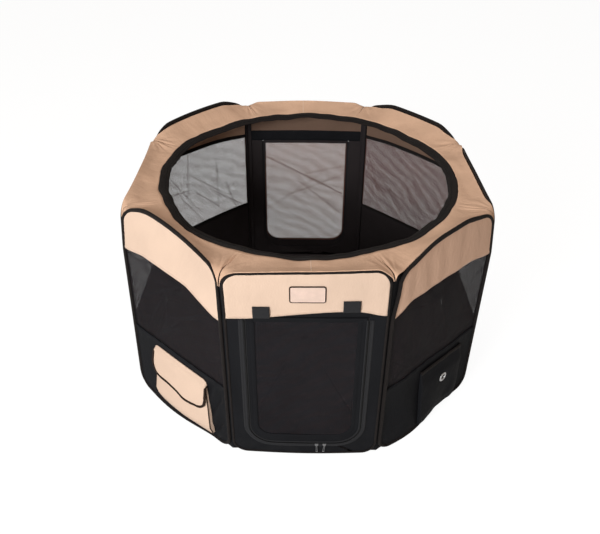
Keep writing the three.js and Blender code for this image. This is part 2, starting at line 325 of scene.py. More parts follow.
def oxford(name, colour, pitch=0.0011, dark=0.86, sheen=0.25, rough=0.62, crumple=0.5, dust=0.0,
           specular=0.35):
    """Coated polyester oxford cloth: weave, faint creases, colour that varies a little, worn
    paler at hems."""
    n = Nodes(name)
    weave = weave_height(n, pitch)
    broad = n.noise(n.uv(), 7.0, 3)
    fine = n.noise(n.uv(), 420.0, 2)
    tint = n.mix(n.span(broad, 0.35, 0.68), rgba(colour, dark), rgba(colour))
    # Painted shade: the colour darkens in the weave's hollows, where its height is low.
    shaded = n.mix(0.5, tint, rgba(colour, dark * 0.8))
    tint = n.mix(n.math("MULTIPLY", n.span(weave, 0.2, 0.9), 0.5), shaded, tint)
    tint = n.mix(n.span(fine, 0.3, 0.7, 0.0, 0.22), tint, rgba(colour, dark * 0.82))
    wear = n.math("MULTIPLY", n.attribute("wear"), n.span(n.noise(n.uv(), 60.0, 4), 0.45, 0.75))
    tint = n.mix(n.math("MULTIPLY", wear, 0.35), tint, rgba([min(0.9, 0.03 + 1.18 * c) for c in colour]))
    if dust:
        low = n.math("MULTIPLY", n.attribute("low"), n.span(n.noise(n.uv(), 26.0, 5), 0.4, 0.8))
        tint = n.mix(n.math("MULTIPLY", low, dust), tint, (0.16, 0.15, 0.14, 1))
    n.set(n.shader.inputs["Base Color"], tint)
    n.set(n.shader.inputs["Roughness"], n.span(broad, 0.3, 0.7, rough - 0.06, rough + 0.08))
    n.shader.inputs["Sheen Weight"].default_value = sheen
    n.shader.inputs["Sheen Roughness"].default_value = 0.45
    n.shader.inputs["Specular IOR Level"].default_value = specular
    creases = n.noise(n.uv((1.0, 0.55, 1.0)), 24.0, 4, 0.6)
    normal = n.bump(creases, crumple, 0.004)
    normal = n.bump(weave, 0.35, 0.0003, normal)
    n.set(n.shader.inputs["Normal"], normal)
    return n.material


def webbing(name, colour, pitch=0.0016, rough=0.7):
    """Ribbed tape: diagonal ribs either side of its middle."""
    n = Nodes(name)
    ribs = n.wave(n.uv(turn=35), 0.6 / pitch, "X")
    fine = n.noise(n.uv(), 500.0, 2)
    tint = n.mix(n.span(ribs, 0.1, 0.9), rgba(colour, 0.55), rgba(colour, 1.25))
    tint = n.mix(n.span(fine, 0.4, 0.7, 0.0, 0.3), tint, rgba(colour, 1.7))
    wear = n.math("MULTIPLY", n.attribute("wear"), n.span(n.noise(n.uv(), 90.0, 3), 0.45, 0.7))
    tint = n.mix(n.math("MULTIPLY", wear, 0.3), tint, rgba([c * 2.2 + 0.006 for c in colour]))
    n.set(n.shader.inputs["Base Color"], tint)
    n.set(n.shader.inputs["Roughness"], n.span(fine, 0.3, 0.7, rough - 0.08, rough + 0.1))
    n.shader.inputs["Sheen Weight"].default_value = 0.03
    n.shader.inputs["Specular IOR Level"].default_value = 0.05
    normal = n.bump(n.noise(n.uv(), 120.0, 3), 0.35, 0.0012)
    n.set(n.shader.inputs["Normal"], n.bump(ribs, 0.5, 0.0004, normal))
    return n.material


def netting(name, colour, pitch=0.0026, hole=0.335, moire=0.06, creased=0.5):
    """Knitted mesh: staggered round holes between threads, closer together where it is creased."""
    n = Nodes(name)
    cells = n.add("TexVoronoi", voronoi_dimensions="2D", feature="F1")
    n.set(cells.inputs["Vector"], n.uv(1 / pitch, turn=45))
    cells.inputs["Scale"].default_value = 1.0
    cells.inputs["Randomness"].default_value = 0.0
    away = cells.outputs["Distance"]
    swirl = n.wave(n.uv(turn=62), 9.0, "X", 7.0)
    pull = n.noise(n.uv(), 11.0, 3)
    shift = n.math("MULTIPLY", n.math("SUBTRACT", n.math("MULTIPLY", swirl, pull), 0.25), moire)
    crease = n.math("MULTIPLY", n.attribute("crease"), creased * hole)
    radius = n.math("SUBTRACT", n.math("SUBTRACT", hole, shift), crease)
    thread = n.span(n.math("SUBTRACT", away, radius), -0.03, 0.03)
    ribs = n.wave(n.uv(), 55.0, "X", 0.6)
    tint = n.mix(n.span(ribs, 0.2, 0.9), rgba(colour, 0.7), rgba(colour, 1.3))
    tint = n.mix(n.span(pull, 0.35, 0.7), tint, rgba(colour, 1.25))
    n.set(n.shader.inputs["Base Color"], tint)
    n.set(n.shader.inputs["Alpha"], thread)
    n.set(n.shader.inputs["Roughness"], n.span(pull, 0.3, 0.7, 0.5, 0.65))
    n.shader.inputs["Sheen Weight"].default_value = 0.01
    n.shader.inputs["Specular IOR Level"].default_value = 0.04
    n.set(n.shader.inputs["Normal"], n.bump(away, 0.4, 0.0004))
    return n.material


def metal(name, colour, rough, grain=300.0):
    """Plated or bare metal with fine scratches."""
    n = Nodes(name)
    place = n.add("TexCoord").outputs["Object"]
    scratches = n.noise(place, grain, 4)
    n.set(n.shader.inputs["Base Color"], n.mix(n.span(scratches, 0.3, 0.7), rgba(colour, 0.8), rgba(colour)))
    n.shader.inputs["Metallic"].default_value = 1.0
    n.set(n.shader.inputs["Roughness"], n.span(scratches, 0.3, 0.75, rough, rough + 0.18))
    n.set(n.shader.inputs["Normal"], n.bump(scratches, 0.08, 0.0004))
    return n.material


def thread(name, colour):
    """Sewing thread, slightly fuzzy."""
    n = Nodes(name)
    fuzz = n.noise(n.add("TexCoord").outputs["Object"], 1400.0, 2)
    n.set(n.shader.inputs["Base Color"], n.mix(fuzz, rgba(colour, 0.7), rgba(colour, 1.2)))
    n.shader.inputs["Roughness"].default_value = 0.6
    n.shader.inputs["Sheen Weight"].default_value = 0.3
    return n.material


def zip_coil(name, colour):
    """Nylon zip coil: a fine pitch of teeth along it."""
    n = Nodes(name)
    teeth = n.wave(n.uv(), 210.0, "X")
    n.set(n.shader.inputs["Base Color"], n.mix(teeth, rgba(colour, 0.4), rgba(colour, 1.4)))
    n.set(n.shader.inputs["Roughness"], n.span(teeth, 0, 1, 0.62, 0.42))
    n.shader.inputs["Specular IOR Level"].default_value = 0.12
    n.set(n.shader.inputs["Normal"], n.bump(teeth, 0.9, 0.0008))
    return n.material


def label(name, colour):
    """A plain woven patch."""
    n = Nodes(name)
    weave = n.wave(n.uv(), 420.0, "Y")
    cloudy = n.noise(n.uv(), 60.0, 4)
    tint = n.mix(n.span(cloudy, 0.3, 0.7), rgba(colour, 0.92), rgba(colour, 1.04))
    n.set(n.shader.inputs["Base Color"], tint)
    n.set(n.shader.inputs["Roughness"], n.span(cloudy, 0.3, 0.7, 0.45, 0.6))
    n.set(n.shader.inputs["Normal"], n.bump(weave, 0.25, 0.0003))
    return n.material


BEIGE = (0.735, 0.540, 0.420)
beige = oxford("beige_oxford", BEIGE, crumple=0.6, sheen=0.02, specular=0.1)
# The ring's beige: the same cloth as the band, made darker and more saturated as painted shade.
beige_ring_painted_shade = oxford(
    "beige_ring_painted_shade_oxford", (0.71, 0.454, 0.312), dark=0.78, sheen=0.02, crumple=1.0, specular=0.1)
beige_shaded = oxford("beige_shaded_side", (0.70, 0.455, 0.330), crumple=0.8, sheen=0.02, specular=0.1)
lining = oxford("taupe_lining", (0.19, 0.117, 0.084), dark=0.8, sheen=0.02, specular=0.08)
# A lighter copy of the taupe lining for the back left band's inside: painted light on a shaded face.
lining_painted_lit = oxford("taupe_lining_painted_lit", (0.46, 0.285, 0.20), dark=0.8, sheen=0.02, specular=0.08)
black = oxford(
    "black_oxford", (0.0135, 0.0138, 0.0160), dark=0.72, sheen=0.0, rough=0.6, dust=0.03, specular=0.03)
black_inside = oxford("black_inside", (0.034, 0.028, 0.029), dark=0.75, sheen=0.0, rough=0.6, specular=0.05)
floor_cloth = oxford("black_floor_oxford", (0.060, 0.050, 0.052), pitch=0.0014, sheen=0.0, specular=0.06)
tape = webbing("black_binding", (0.0125, 0.0100, 0.0095))
webbing_black = webbing("black_webbing", (0.021, 0.021, 0.023), pitch=0.0022)
net = netting("black_netting", (0.0080, 0.0083, 0.0105), hole=0.325)
net_door = netting("black_netting_door", (0.0095, 0.0100, 0.0125), hole=0.315, moire=0.12)
net_open = netting("black_netting_slack", (0.0085, 0.0083, 0.0095), hole=0.40)
# Inside faces of the black netting, coloured warm brown and many times lighter than the outside: painted light
# from inside the pen.
net_inside_painted_light = netting("black_netting_inside_painted_light", (0.10, 0.045, 0.038), hole=0.325)
net_back_painted_light = netting("black_netting_back_painted_light", (0.14, 0.066, 0.050), hole=0.270, moire=0.05)
net_dense_painted_light = netting("black_netting_doubled_painted_light", (0.075, 0.030, 0.026), hole=0.180, moire=0.08)
steel = metal("spring_steel", (0.55, 0.56, 0.58), 0.25)
nickel = metal("nickel", (0.62, 0.62, 0.63), 0.28)
slider_metal = metal("dull_nickel", (0.30, 0.30, 0.31), 0.42)
beige_thread = thread("beige_thread", (0.62, 0.44, 0.32))
brown = webbing("dark_brown_trim", (0.022, 0.012, 0.008), pitch=0.0012)
coil = zip_coil("black_zip_coil", (0.009, 0.009, 0.0095))
patch_face = label("badge_face", (0.64, 0.475, 0.40))


# ---------------------------------------------------------------- mesh builders


def new_object(name, verts, faces, materials, uv=None, face_material=None, flat=None, **attributes):
    """A mesh object, smooth but for the faces in flat. attributes are point values for the materials."""
    mesh = bpy.data.meshes.new(name)
    mesh.from_pydata([tuple(v) for v in verts], [], faces)
    for m in materials:
        mesh.materials.append(m)
    smooth_flags = np.ones(len(mesh.polygons), bool)
    if flat is not None:
        smooth_flags[np.asarray(flat, int)] = False
    mesh.polygons.foreach_set("use_smooth", smooth_flags)
    if face_material is not None:
        mesh.polygons.foreach_set("material_index", np.asarray(face_material, np.int32))
    layer = mesh.uv_layers.new(name="weave")
    loops = np.zeros(len(mesh.loops), np.int32)
    mesh.loops.foreach_get("vertex_index", loops)
    if uv is None:
        uv = np.asarray(verts)[:, [0, 2]]
    layer.data.foreach_set("uv", np.asarray(uv, np.float32)[loops].ravel())
    for key in ("wear", "low", "crease"):
        values = attributes.get(key)
        if values is not None:
            a = mesh.attributes.new(key, "FLOAT", "POINT")
            a.data.foreach_set("value", np.asarray(values, np.float32).ravel())
    mesh.update()
    obj = bpy.data.objects.new(name, mesh)
    scene.collection.objects.link(obj)
    return obj


def sheet_from(name, P, uv, thick, materials, flip=False, wear=None, low=None, crease=None):
    """A sheet of cloth with real thickness, from a grid of points P[row, column] and their flat
    places uv. The outer face takes materials[0] and the inner one materials[-1]."""
    P, uv = np.asarray(P, float), np.asarray(uv, float)
    rows, cols = P.shape[:2]
    n = np.cross(np.gradient(P, axis=1), np.gradient(P, axis=0))
    n /= np.maximum(np.linalg.norm(n, axis=2, keepdims=True), 1e-12)
    if flip:
        n = -n
    t = np.broadcast_to(np.asarray(thick, float), (rows, cols))[..., None] / 2
    count = rows * cols
    verts = np.concatenate([(P + n * t).reshape(-1, 3), (P - n * t).reshape(-1, 3)])
    index = np.arange(count).reshape(rows, cols)
    a, b = index[:-1, :-1].ravel(), index[:-1, 1:].ravel()
    c, d = index[1:, 1:].ravel(), index[1:, :-1].ravel()
    front = np.stack([a, b, c, d], 1)
    back = np.stack([d, c, b, a], 1) + count
    if flip:
        front, back = front[:, ::-1], back[:, ::-1]
    edges = [(index[0, j + 1], index[0, j]) for j in range(cols - 1)]
    edges += [(index[-1, j], index[-1, j + 1]) for j in range(cols - 1)]
    edges += [(index[i, 0], index[i + 1, 0]) for i in range(rows - 1)]
    edges += [(index[i + 1, -1], index[i, -1]) for i in range(rows - 1)]
    rim = []
    for p, q in edges:
        quad = [p, q, q + count, p + count]
        rim.append(quad[::-1] if flip else quad)
    faces = front.tolist() + back.tolist() + rim
    which = [0] * len(front) + [len(materials) - 1] * len(back) + [0] * len(rim)
    uvs = np.concatenate([uv.reshape(-1, 2)] * 2)
    extra = {}
    for key, values in (("wear", wear), ("low", low), ("crease", crease)):
        if values is not None:
            extra[key] = np.concatenate([np.asarray(values, float).ravel()] * 2)
    flat = range(len(front) + len(back), len(faces))
    return new_object(name, verts, faces, materials, uvs, which, flat, **extra)


def declare_sheet(uv):
    """Takes a sheet's flat places and turns them into an array; nothing more is done with them."""
    uv = np.asarray(uv, float)


def run_lengths(path):
    """Distance run from the start of a path to each of its points."""
    return np.concatenate([[0], np.cumsum(np.linalg.norm(np.diff(path, axis=0), axis=1))])


def outline_lengths(points):
    """The same for a cross-section's points."""
    return np.cumsum([0] + [math.dist(a, b) for a, b in zip(points, points[1:])])


def sweep(name, sections, materials, uv_across, uv_along, closed=True, **attributes):
    """A solid swept from cross-sections[i][j]; closed joins the last to the first, otherwise the
    ends are capped."""
    S = np.asarray(sections, float)
    n, m = S.shape[:2]
    verts = S.reshape(-1, 3)
    faces = []
    for i in range(n if closed else n - 1):
        i2 = (i + 1) % n
        for j in range(m):
            j2 = (j + 1) % m
            faces.append([i * m + j, i * m + j2, i2 * m + j2, i2 * m + j])
    if not closed:
        faces.append(list(range(m))[::-1])
        faces.append([(n - 1) * m + j for j in range(m)])
    uv = np.stack(np.meshgrid(uv_along, uv_across, indexing="ij"), -1).reshape(-1, 2)
    extra = {k: np.asarray(v, float).ravel() for k, v in attributes.items()}
    return new_object(name, verts, faces, materials, uv, **extra)


def fix_normals(obj):
    """Turn every face of a closed piece outwards."""
    b = bmesh.new()
    b.from_mesh(obj.data)
    bmesh.ops.recalc_face_normals(b, faces=b.faces)
    b.to_mesh(obj.data)
    b.free()
    return obj


def tube(name, path, radius, sides, materials, closed=False, squeeze=1.0):
    """A round cord-like solid along a path of points."""
    path = np.asarray(path, float)
    tangent = np.roll(path, -1, 0) - np.roll(path, 1, 0) if closed else np.gradient(path, axis=0)
    tangent /= np.linalg.norm(tangent, axis=1, keepdims=True)
    up = np.array([0, 0, 1.0]) if abs(tangent[:, 2]).mean() < 0.8 else np.array([1.0, 0, 0])
    side = np.cross(tangent, up)
    side /= np.linalg.norm(side, axis=1, keepdims=True)
    over = np.cross(side, tangent)
    angles = np.arange(sides) * 2 * math.pi / sides
    sections = [
        [path[i] + radius * (math.cos(a) * side[i] + squeeze * math.sin(a) * over[i]) for a in angles]
        for i in range(len(path))
    ]
    return fix_normals(sweep(name, sections, materials, angles * radius, run_lengths(path), closed))


def stitches(name, runs, material, length=0.0030, gap=0.0016, width=0.00045, proud=0.0002):
    """Sewing: a small stitch at every step along each run of (point, outward normal)."""
    verts, faces = [], []
    for points, normals in runs:
        points, normals = np.asarray(points, float), np.asarray(normals, float)
        along = run_lengths(points)
        step = length + gap
        for i in range(int(along[-1] / step)):
            ends = []
            for s in (i * step + gap / 2, i * step + gap / 2 + length):
                ends.append([np.interp(s, along, points[:, c]) for c in range(3)])
            a, b = np.array(ends[0]), np.array(ends[1])
            middle = (i + 0.5) * step
            up = np.array([np.interp(middle, along, normals[:, c]) for c in range(3)])
            up /= np.linalg.norm(up)
            t = (b - a) / max(np.linalg.norm(b - a), 1e-9)
            side = np.cross(t, up)
            m = (a + b) / 2 + up * proud
            base = len(verts)
            verts += [a, b, m + side * width, m - side * width, m + up * width, m - up * width]
            for q, r in ((2, 4), (4, 3), (3, 5), (5, 2)):
                faces += [[base, base + q, base + r], [base + 1, base + r, base + q]]
    return new_object(name, verts, faces, [material], uv=np.zeros((len(verts), 2)))


# ---------------------------------------------------------------- outlines in a panel's plane


def arc(cx, cz, r, start, steps, last=0):
    """A quarter turn from the start angle: (x, z, outward x, outward z); last is 1 to keep its end."""
    out = []
    for i in range(steps + last):
        a = math.radians(start + 90 * i / steps)
        out.append((cx + r * math.cos(a), cz + r * math.sin(a), math.cos(a), math.sin(a)))
    return out


def edge_stations(inset=0.0, corner=10, long=34, short=22):
    """Round the panel's edge: (x, z, outward x, outward z), anticlockwise seen from outside, from
    the right side up."""
    r = CORNER_R - inset
    dx, lo, hi = HALF_W - CORNER_R, CORNER_R, HEIGHT - CORNER_R
    out = []

    def straight(x0, z0, x1, z1, nx, nz, steps):
        for i in range(steps):
            t = i / steps
            out.append((x0 + (x1 - x0) * t, z0 + (z1 - z0) * t, nx, nz))

    straight(dx + r, lo, dx + r, hi, 1, 0, long)
    out.extend(arc(dx, hi, r, 0, corner))
    straight(dx, hi + r, -dx, hi + r, 0, 1, short)
    out.extend(arc(-dx, hi, r, 90, corner))
    straight(-dx - r, hi, -dx - r, lo, -1, 0, long)
    out.extend(arc(-dx, lo, r, 180, corner))
    straight(-dx, lo - r, dx, lo - r, 0, -1, short)
    out.extend(arc(dx, lo, r, 270, corner))
    return out


def half_width(z, inset=INSET):
    """Half the width of the panel's cloth at height z, allowing for the rounded corners."""
    r = CORNER_R - inset
    for centre, sign in ((HEIGHT - CORNER_R, 1), (CORNER_R, -1)):
        past = (z - centre) * sign
        if past > 0:
            return HALF_W - CORNER_R + math.sqrt(max(r * r - past * past, 0))
    return HALF_W - inset


CORNER_STEPS = (15, 30, 45, 60, 74, 90)


def heights_to_top(z0, rows):
    """Row heights from z0 to the top of the cloth, closer together round the corners."""
    r = CORNER_R - INSET
    straight = np.linspace(z0, HEIGHT - CORNER_R, rows)
    bends = [HEIGHT - CORNER_R + r * math.sin(math.radians(a)) for a in CORNER_STEPS]
    return list(straight) + bends


def heights_from_bottom(z1, rows):
    """The same from the foot of the cloth to z1."""
    r = CORNER_R - INSET
    bends = [CORNER_R - r * math.sin(math.radians(a)) for a in CORNER_STEPS[::-1]]
    return bends + list(np.linspace(CORNER_R, z1, rows))


def hem_wear(x, z, wide, z0, z1):
    """1 along the edges of a cloth, 0 a centimetre in."""
    inside = min(wide - abs(x), z - z0, z1 - z)
    return max(0.0, 1 - inside / 0.012)


# ---------------------------------------------------------------- the eight panels

# The band's lower edge isn't quite straight: how far it rises, in the same form as ARCH.
BAND_DIP = {
    0: (-0.006, 0.018, 0.006, 0.5, 0.6),
    1: (-0.008, 0.017, 0.005, -0.7, 0.5),
    3: (0.015, 0.015, 0.015, 0.0, 0.0),
    5: (0.014, 0.020, 0.028, 0.0, 0.0),
    7: (0.010, 0.019, -0.020, -0.5, 0.3),
}


def band_dip(k, u):
    """How far the band's lower edge rises at u, from -1 to 1 across the panel."""
    if k in BAND_DIP:
        return shoulders(u, *BAND_DIP[k])
    return 0.003 * math.sin(2.7 * u + k) - 0.002


def cloth_ripple(k, x, z, size=0.0012):
    """Soft upright folds, deeper near the hinges."""
    near = smooth(0.35, 1.0, abs(x) / HALF_W)
    slow = wob(x * 9 + 3.1 * k, z * 3.0)
    quick = wob(x * 34 + 1.7 * k, z * 5.5 + 2, 5)
    out = size * (slow * (0.7 + 1.1 * near) + 0.45 * quick * (0.4 + near))
    if k == 1:
        out += size * 1.6 * (1 - smooth(-0.04, 0.16, x)) * wob(x * 21 + 3 * z, z * 2.2, 7)
    if k == 7:
        out += (size * 1.2 * 2.4 * smooth(0.10, 0.14, x) * (1 - smooth(0.16, 0.24, z))
                * math.sin(150 * x - 70 * z))
    return out


def panel_grid(k, heights, columns, d, ripple=0.0012, dip=None):
    """A cloth across the whole panel: points, flat places, wear at the hems, nearness to the floor."""
    P, uv, wear, low = [], [], [], []
    z0, z1 = heights[0], heights[-1]
    for z in heights:
        row, flat, w_row, l_row = [], [], [], []
        wide = half_width(z)
        for u in np.linspace(-1, 1, columns):
            x = wide * u
            zz = z
            if dip is not None:
                zz += dip(u) * (1 - smooth(0, 0.7, (z - z0) / (z1 - z0)))
            from_ends = min(z - 0.008, HEIGHT - 0.008 - z) + 0.004
            fade = smooth(0, 0.03, wide - abs(x)) * smooth(0, 0.03, from_ends)
            out = d(u, z) if callable(d) else d
            row.append(bowed(k, x, out + fade * cloth_ripple(k, x, zz, ripple), zz))
            flat.append((x, zz))
            w_row.append(hem_wear(x, z, wide, z0, z1))
            l_row.append(float(1 - smooth(0.0, 0.09, z)))
        P.append(row), uv.append(flat), wear.append(w_row), low.append(l_row)
    return np.array(P), np.array(uv), np.array(wear), np.array(low)


def surface_run(P, row, offset=0.0):
    """Points and outward normals along one row of a grid."""
    P = np.asarray(P)
    du, dv = np.gradient(P, axis=1), np.gradient(P, axis=0)
    n = np.cross(du, dv)
    n /= np.linalg.norm(n, axis=2, keepdims=True)
    return P[row] + n[row] * offset, n[row]


def door_outline(half, sill, radius, top, steps_side=26, steps_corner=12, steps_low=18):
    """Down the left side, round the bottom and up the right side, as (x, z, tangent turned outwards)."""
    out = []
    for i in range(steps_side):
        out.append((-half, top + (sill + radius - top) * i / steps_side, -1, 0))
    out += arc(-half + radius, sill + radius, radius, 180, steps_corner)
    for i in range(steps_low):
        out.append((-half + radius + 2 * (half - radius) * i / steps_low, sill, 0, -1))
    out += arc(half - radius, sill + radius, radius, 270, steps_corner)
    for i in range(steps_side + 1):
        out.append((half, sill + radius + (top - sill - radius) * i / steps_side, 1, 0))
    return out


def strip_between(k, inner, outer, across, d, ripple):
    """Grid between two matching outlines."""
    P, uv, low = [], [], []
    for s in np.linspace(0, 1, across):
        row, flat, l_row = [], [], []
        for (x0, z0, *_), (x1, z1, *_) in zip(inner, outer):
            x, z = x0 + (x1 - x0) * s, z0 + (z1 - z0) * s
            out = d(s) if callable(d) else d
            fade = math.sin(math.pi * s)
            row.append(bowed(k, x, out + fade * cloth_ripple(k, x, z, ripple), z))
            flat.append((x, z))
            l_row.append(float(1 - smooth(0.0, 0.09, z)))
        P.append(row), uv.append(flat), low.append(l_row)
    return np.array(P), np.array(uv), np.array(low)


def body(k):
    """The moving body that panel k's pieces ride on."""
    return NAMES[k] + "_panel"


for k, name in enumerate(NAMES):
    # Sprung wire hoop.
    stations = edge_stations(WIRE_IN)
    path = [bowed(k, x, MID, z) for x, z, *_ in stations]
    wire = tube(f"{name}_wire", path, WIRE_R, 8, [steel], closed=True)
    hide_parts(f"{name}_hoop")
    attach(wire, body(k))

    # Binding tape folded over the wire and the cloth's edge.
    stations = edge_stations()
    sections, wear = [], []
    across = [
        (-0.0080, 0.0017), (-0.0076, 0.0022), (-0.0068, 0.0026), (-0.0056, 0.0034), (-0.0038, 0.0038),
        (-0.0018, 0.0033), (-0.0005, 0.0020), (0.0, 0.0), (-0.0005, -0.0020), (-0.0018, -0.0033),
        (-0.0038, -0.0038), (-0.0056, -0.0034), (-0.0068, -0.0026), (-0.0076, -0.0022), (-0.0080, -0.0017),
    ]
    along = [0.0]
    for (x0, z0, *_), (x1, z1, *_) in zip(stations, stations[1:]):
        along.append(along[-1] + math.hypot(x1 - x0, z1 - z0))
    for s, (x, z, nx, nz) in zip(along, stations):
        pucker = 0.0005 * wob(s * 60, k * 2.0, 4)
        full, legs = (1.15, 0.92) if k % 2 else (0.88, 0.72)
        ring_pts, w = [], []
        for o, n in across:
            leg = smooth(-0.004, -0.008, o)
            o2 = o * full + (1 - legs) * 0.0044 * leg * full - leg * (0.0007 * wob(s * 22, k, 8) + pucker)
            n2 = n * full * (1 + leg * 0.25 * wob(s * 90, k, 2))
            ring_pts.append(bowed(k, x + o2 * nx, MID + n2, max(z + o2 * nz, 0.0002)))
            w.append(1.0 - abs(o + 0.0045) / 0.007)
        sections.append(ring_pts)
        wear.append(w)
    binding = sweep(
        f"{name}_binding_tape", sections, [tape], outline_lengths(across), along, wear=wear)
    fix_normals(binding)
    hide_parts(f"{name}_binding")
    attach(binding, body(k))

    # Upper band: beige outside, taupe lining inside, hemmed along its lower edge.
    heights = heights_to_top(BAND_Z, 16)
    P, uv, wear, low = panel_grid(
        k, heights, 61, lambda u, z: MID + 0.0004 + 0.0007 * (1 - smooth(0.006, 0.011, z - BAND_Z)),
        0.0018, lambda u, k=k: band_dip(k, u),
    )
    outside = beige_shaded if k in (1, 2) else beige
    # The back left panel's lining is the lighter copy: painted light.
    inside = lining_painted_lit if k == 5 else lining
    band = sheet_from(f"{name}_band", P, uv, BAND_THICK, [outside, inside], wear=wear)
    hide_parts(f"{name}_upper_band")
    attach(band, body(k))
    declare_sheet(uv)
    run = surface_run(P, 1, 0.0013)
    seam = stitches(f"{name}_band_stitches", [run], beige_thread)
    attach(seam, body(k))

    if k in DOORS:
        continue

    # Lower cloth, with its top edge hemmed over the window.
    heights = heights_from_bottom(SILL_Z, 20)
    P, uv, wear, low = panel_grid(
        k, heights, 61, lambda u, z: MID + 0.0006 * smooth(SILL_Z - 0.014, SILL_Z - 0.009, z), 0.0018,
    )
    lower = sheet_from(f"{name}_lower", P, uv, CLOTH_THICK, [black, black_inside], wear=wear, low=low)
    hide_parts(f"{name}_lower_cloth")
    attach(lower, body(k))
    declare_sheet(uv)

    # See-through window, tucked behind the cloths above and below it.
    P, uv = [], []
    for t in np.linspace(0, 1, 78):
        row, flat = [], []
        for u in np.linspace(-1, 1, 101):
            z = SILL_Z - 0.008 + t * (BAND_Z + band_dip(k, u) + 0.004 - SILL_Z + 0.008)
            x = u * half_width(z)
            fade = smooth(0, 0.03, (1 - abs(u)) * HALF_W)
            row.append(bowed(k, x, MID - 0.0014 + fade * cloth_ripple(k, x, z, 0.0018), z))
            flat.append((x, z))
        P.append(row), uv.append(flat)
    P, uv = np.array(P), np.array(uv)
    crease = np.zeros(uv.shape[:2])
    for i in range(9):
        angle = 0.9 + 1.1 * wob(i * 1.9, k * 2.3, 11)
        x0, z0 = 0.16 * wob(i * 3.3, k * 1.7, 12) * 2, 0.34 + 0.2 * wob(i * 2.1, k * 2.9, 13)
        away = np.abs((uv[..., 0] - x0) * math.sin(angle) - (uv[..., 1] - z0) * math.cos(angle))
        reach = np.abs((uv[..., 0] - x0) * math.cos(angle) + (uv[..., 1] - z0) * math.sin(angle))
        line = (1 - smooth(0.0004, 0.0028, away)) * (1 - smooth(0.04, 0.11, reach))
        crease = np.maximum(crease, line * 0.6)
    # The windows' inside faces take the lighter brown netting: painted light.
    faces = {2: [net_open], 6: [net_open], 3: [net, net_dense_painted_light]}.get(k, [net, net_inside_painted_light])
    window = sheet_from(f"{name}_window", P, uv, MESH_THICK, faces, crease=crease)
    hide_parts(f"{name}_window_mesh")
    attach(window, body(k))
    declare_sheet(uv)

    # Seam tape inside, along the window's top and bottom edges.
    for edge_name, edge_z in (("top", BAND_Z), ("sill", SILL_Z)):
        P, uv = [], []
        for t in np.linspace(0, 1, 4):
            row, flat = [], []
            for u in np.linspace(-1, 1, 61):
                z = edge_z - 0.004 + 0.011 * t + (band_dip(k, u) if edge_name == "top" else -0.004)
                x = u * (half_width(z) + 0.001)
                fade = smooth(0, 0.03, (1 - abs(u)) * HALF_W)
                row.append(bowed(k, x, MID - 0.0024 + fade * cloth_ripple(k, x, z, 0.0018), z))
                flat.append((x, z))
            P.append(row), uv.append(flat)
        seam_tape = sheet_from(f"{name}_{edge_name}_seam_tape", P, uv, 0.0007, [tape])
        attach(seam_tape, body(k))


# ---------------------------------------------------------------- door panels

def hang(piece):
    """Bakes the door piece's placement into its mesh. The door's cloth is sewn to the band along its top edge.
    """
    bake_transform(piece)


# Creases in each door's mesh: x and z of both ends, and how strong it is.
DOOR_CREASES = {
    0: ((-0.11, 0.43, 0.02, 0.30, 0.3), (0.02, 0.44, 0.11, 0.38, 0.3)),
    4: ((0.135, 0.395, -0.125, 0.255, 1.0), (0.05, 0.25, -0.13, 0.33, 0.55),
        (0.0, 0.33, -0.13, 0.36, 0.45), (0.13, 0.19, -0.05, 0.33, 0.35), (0.02, 0.30, -0.12, 0.18, 0.5)),
}


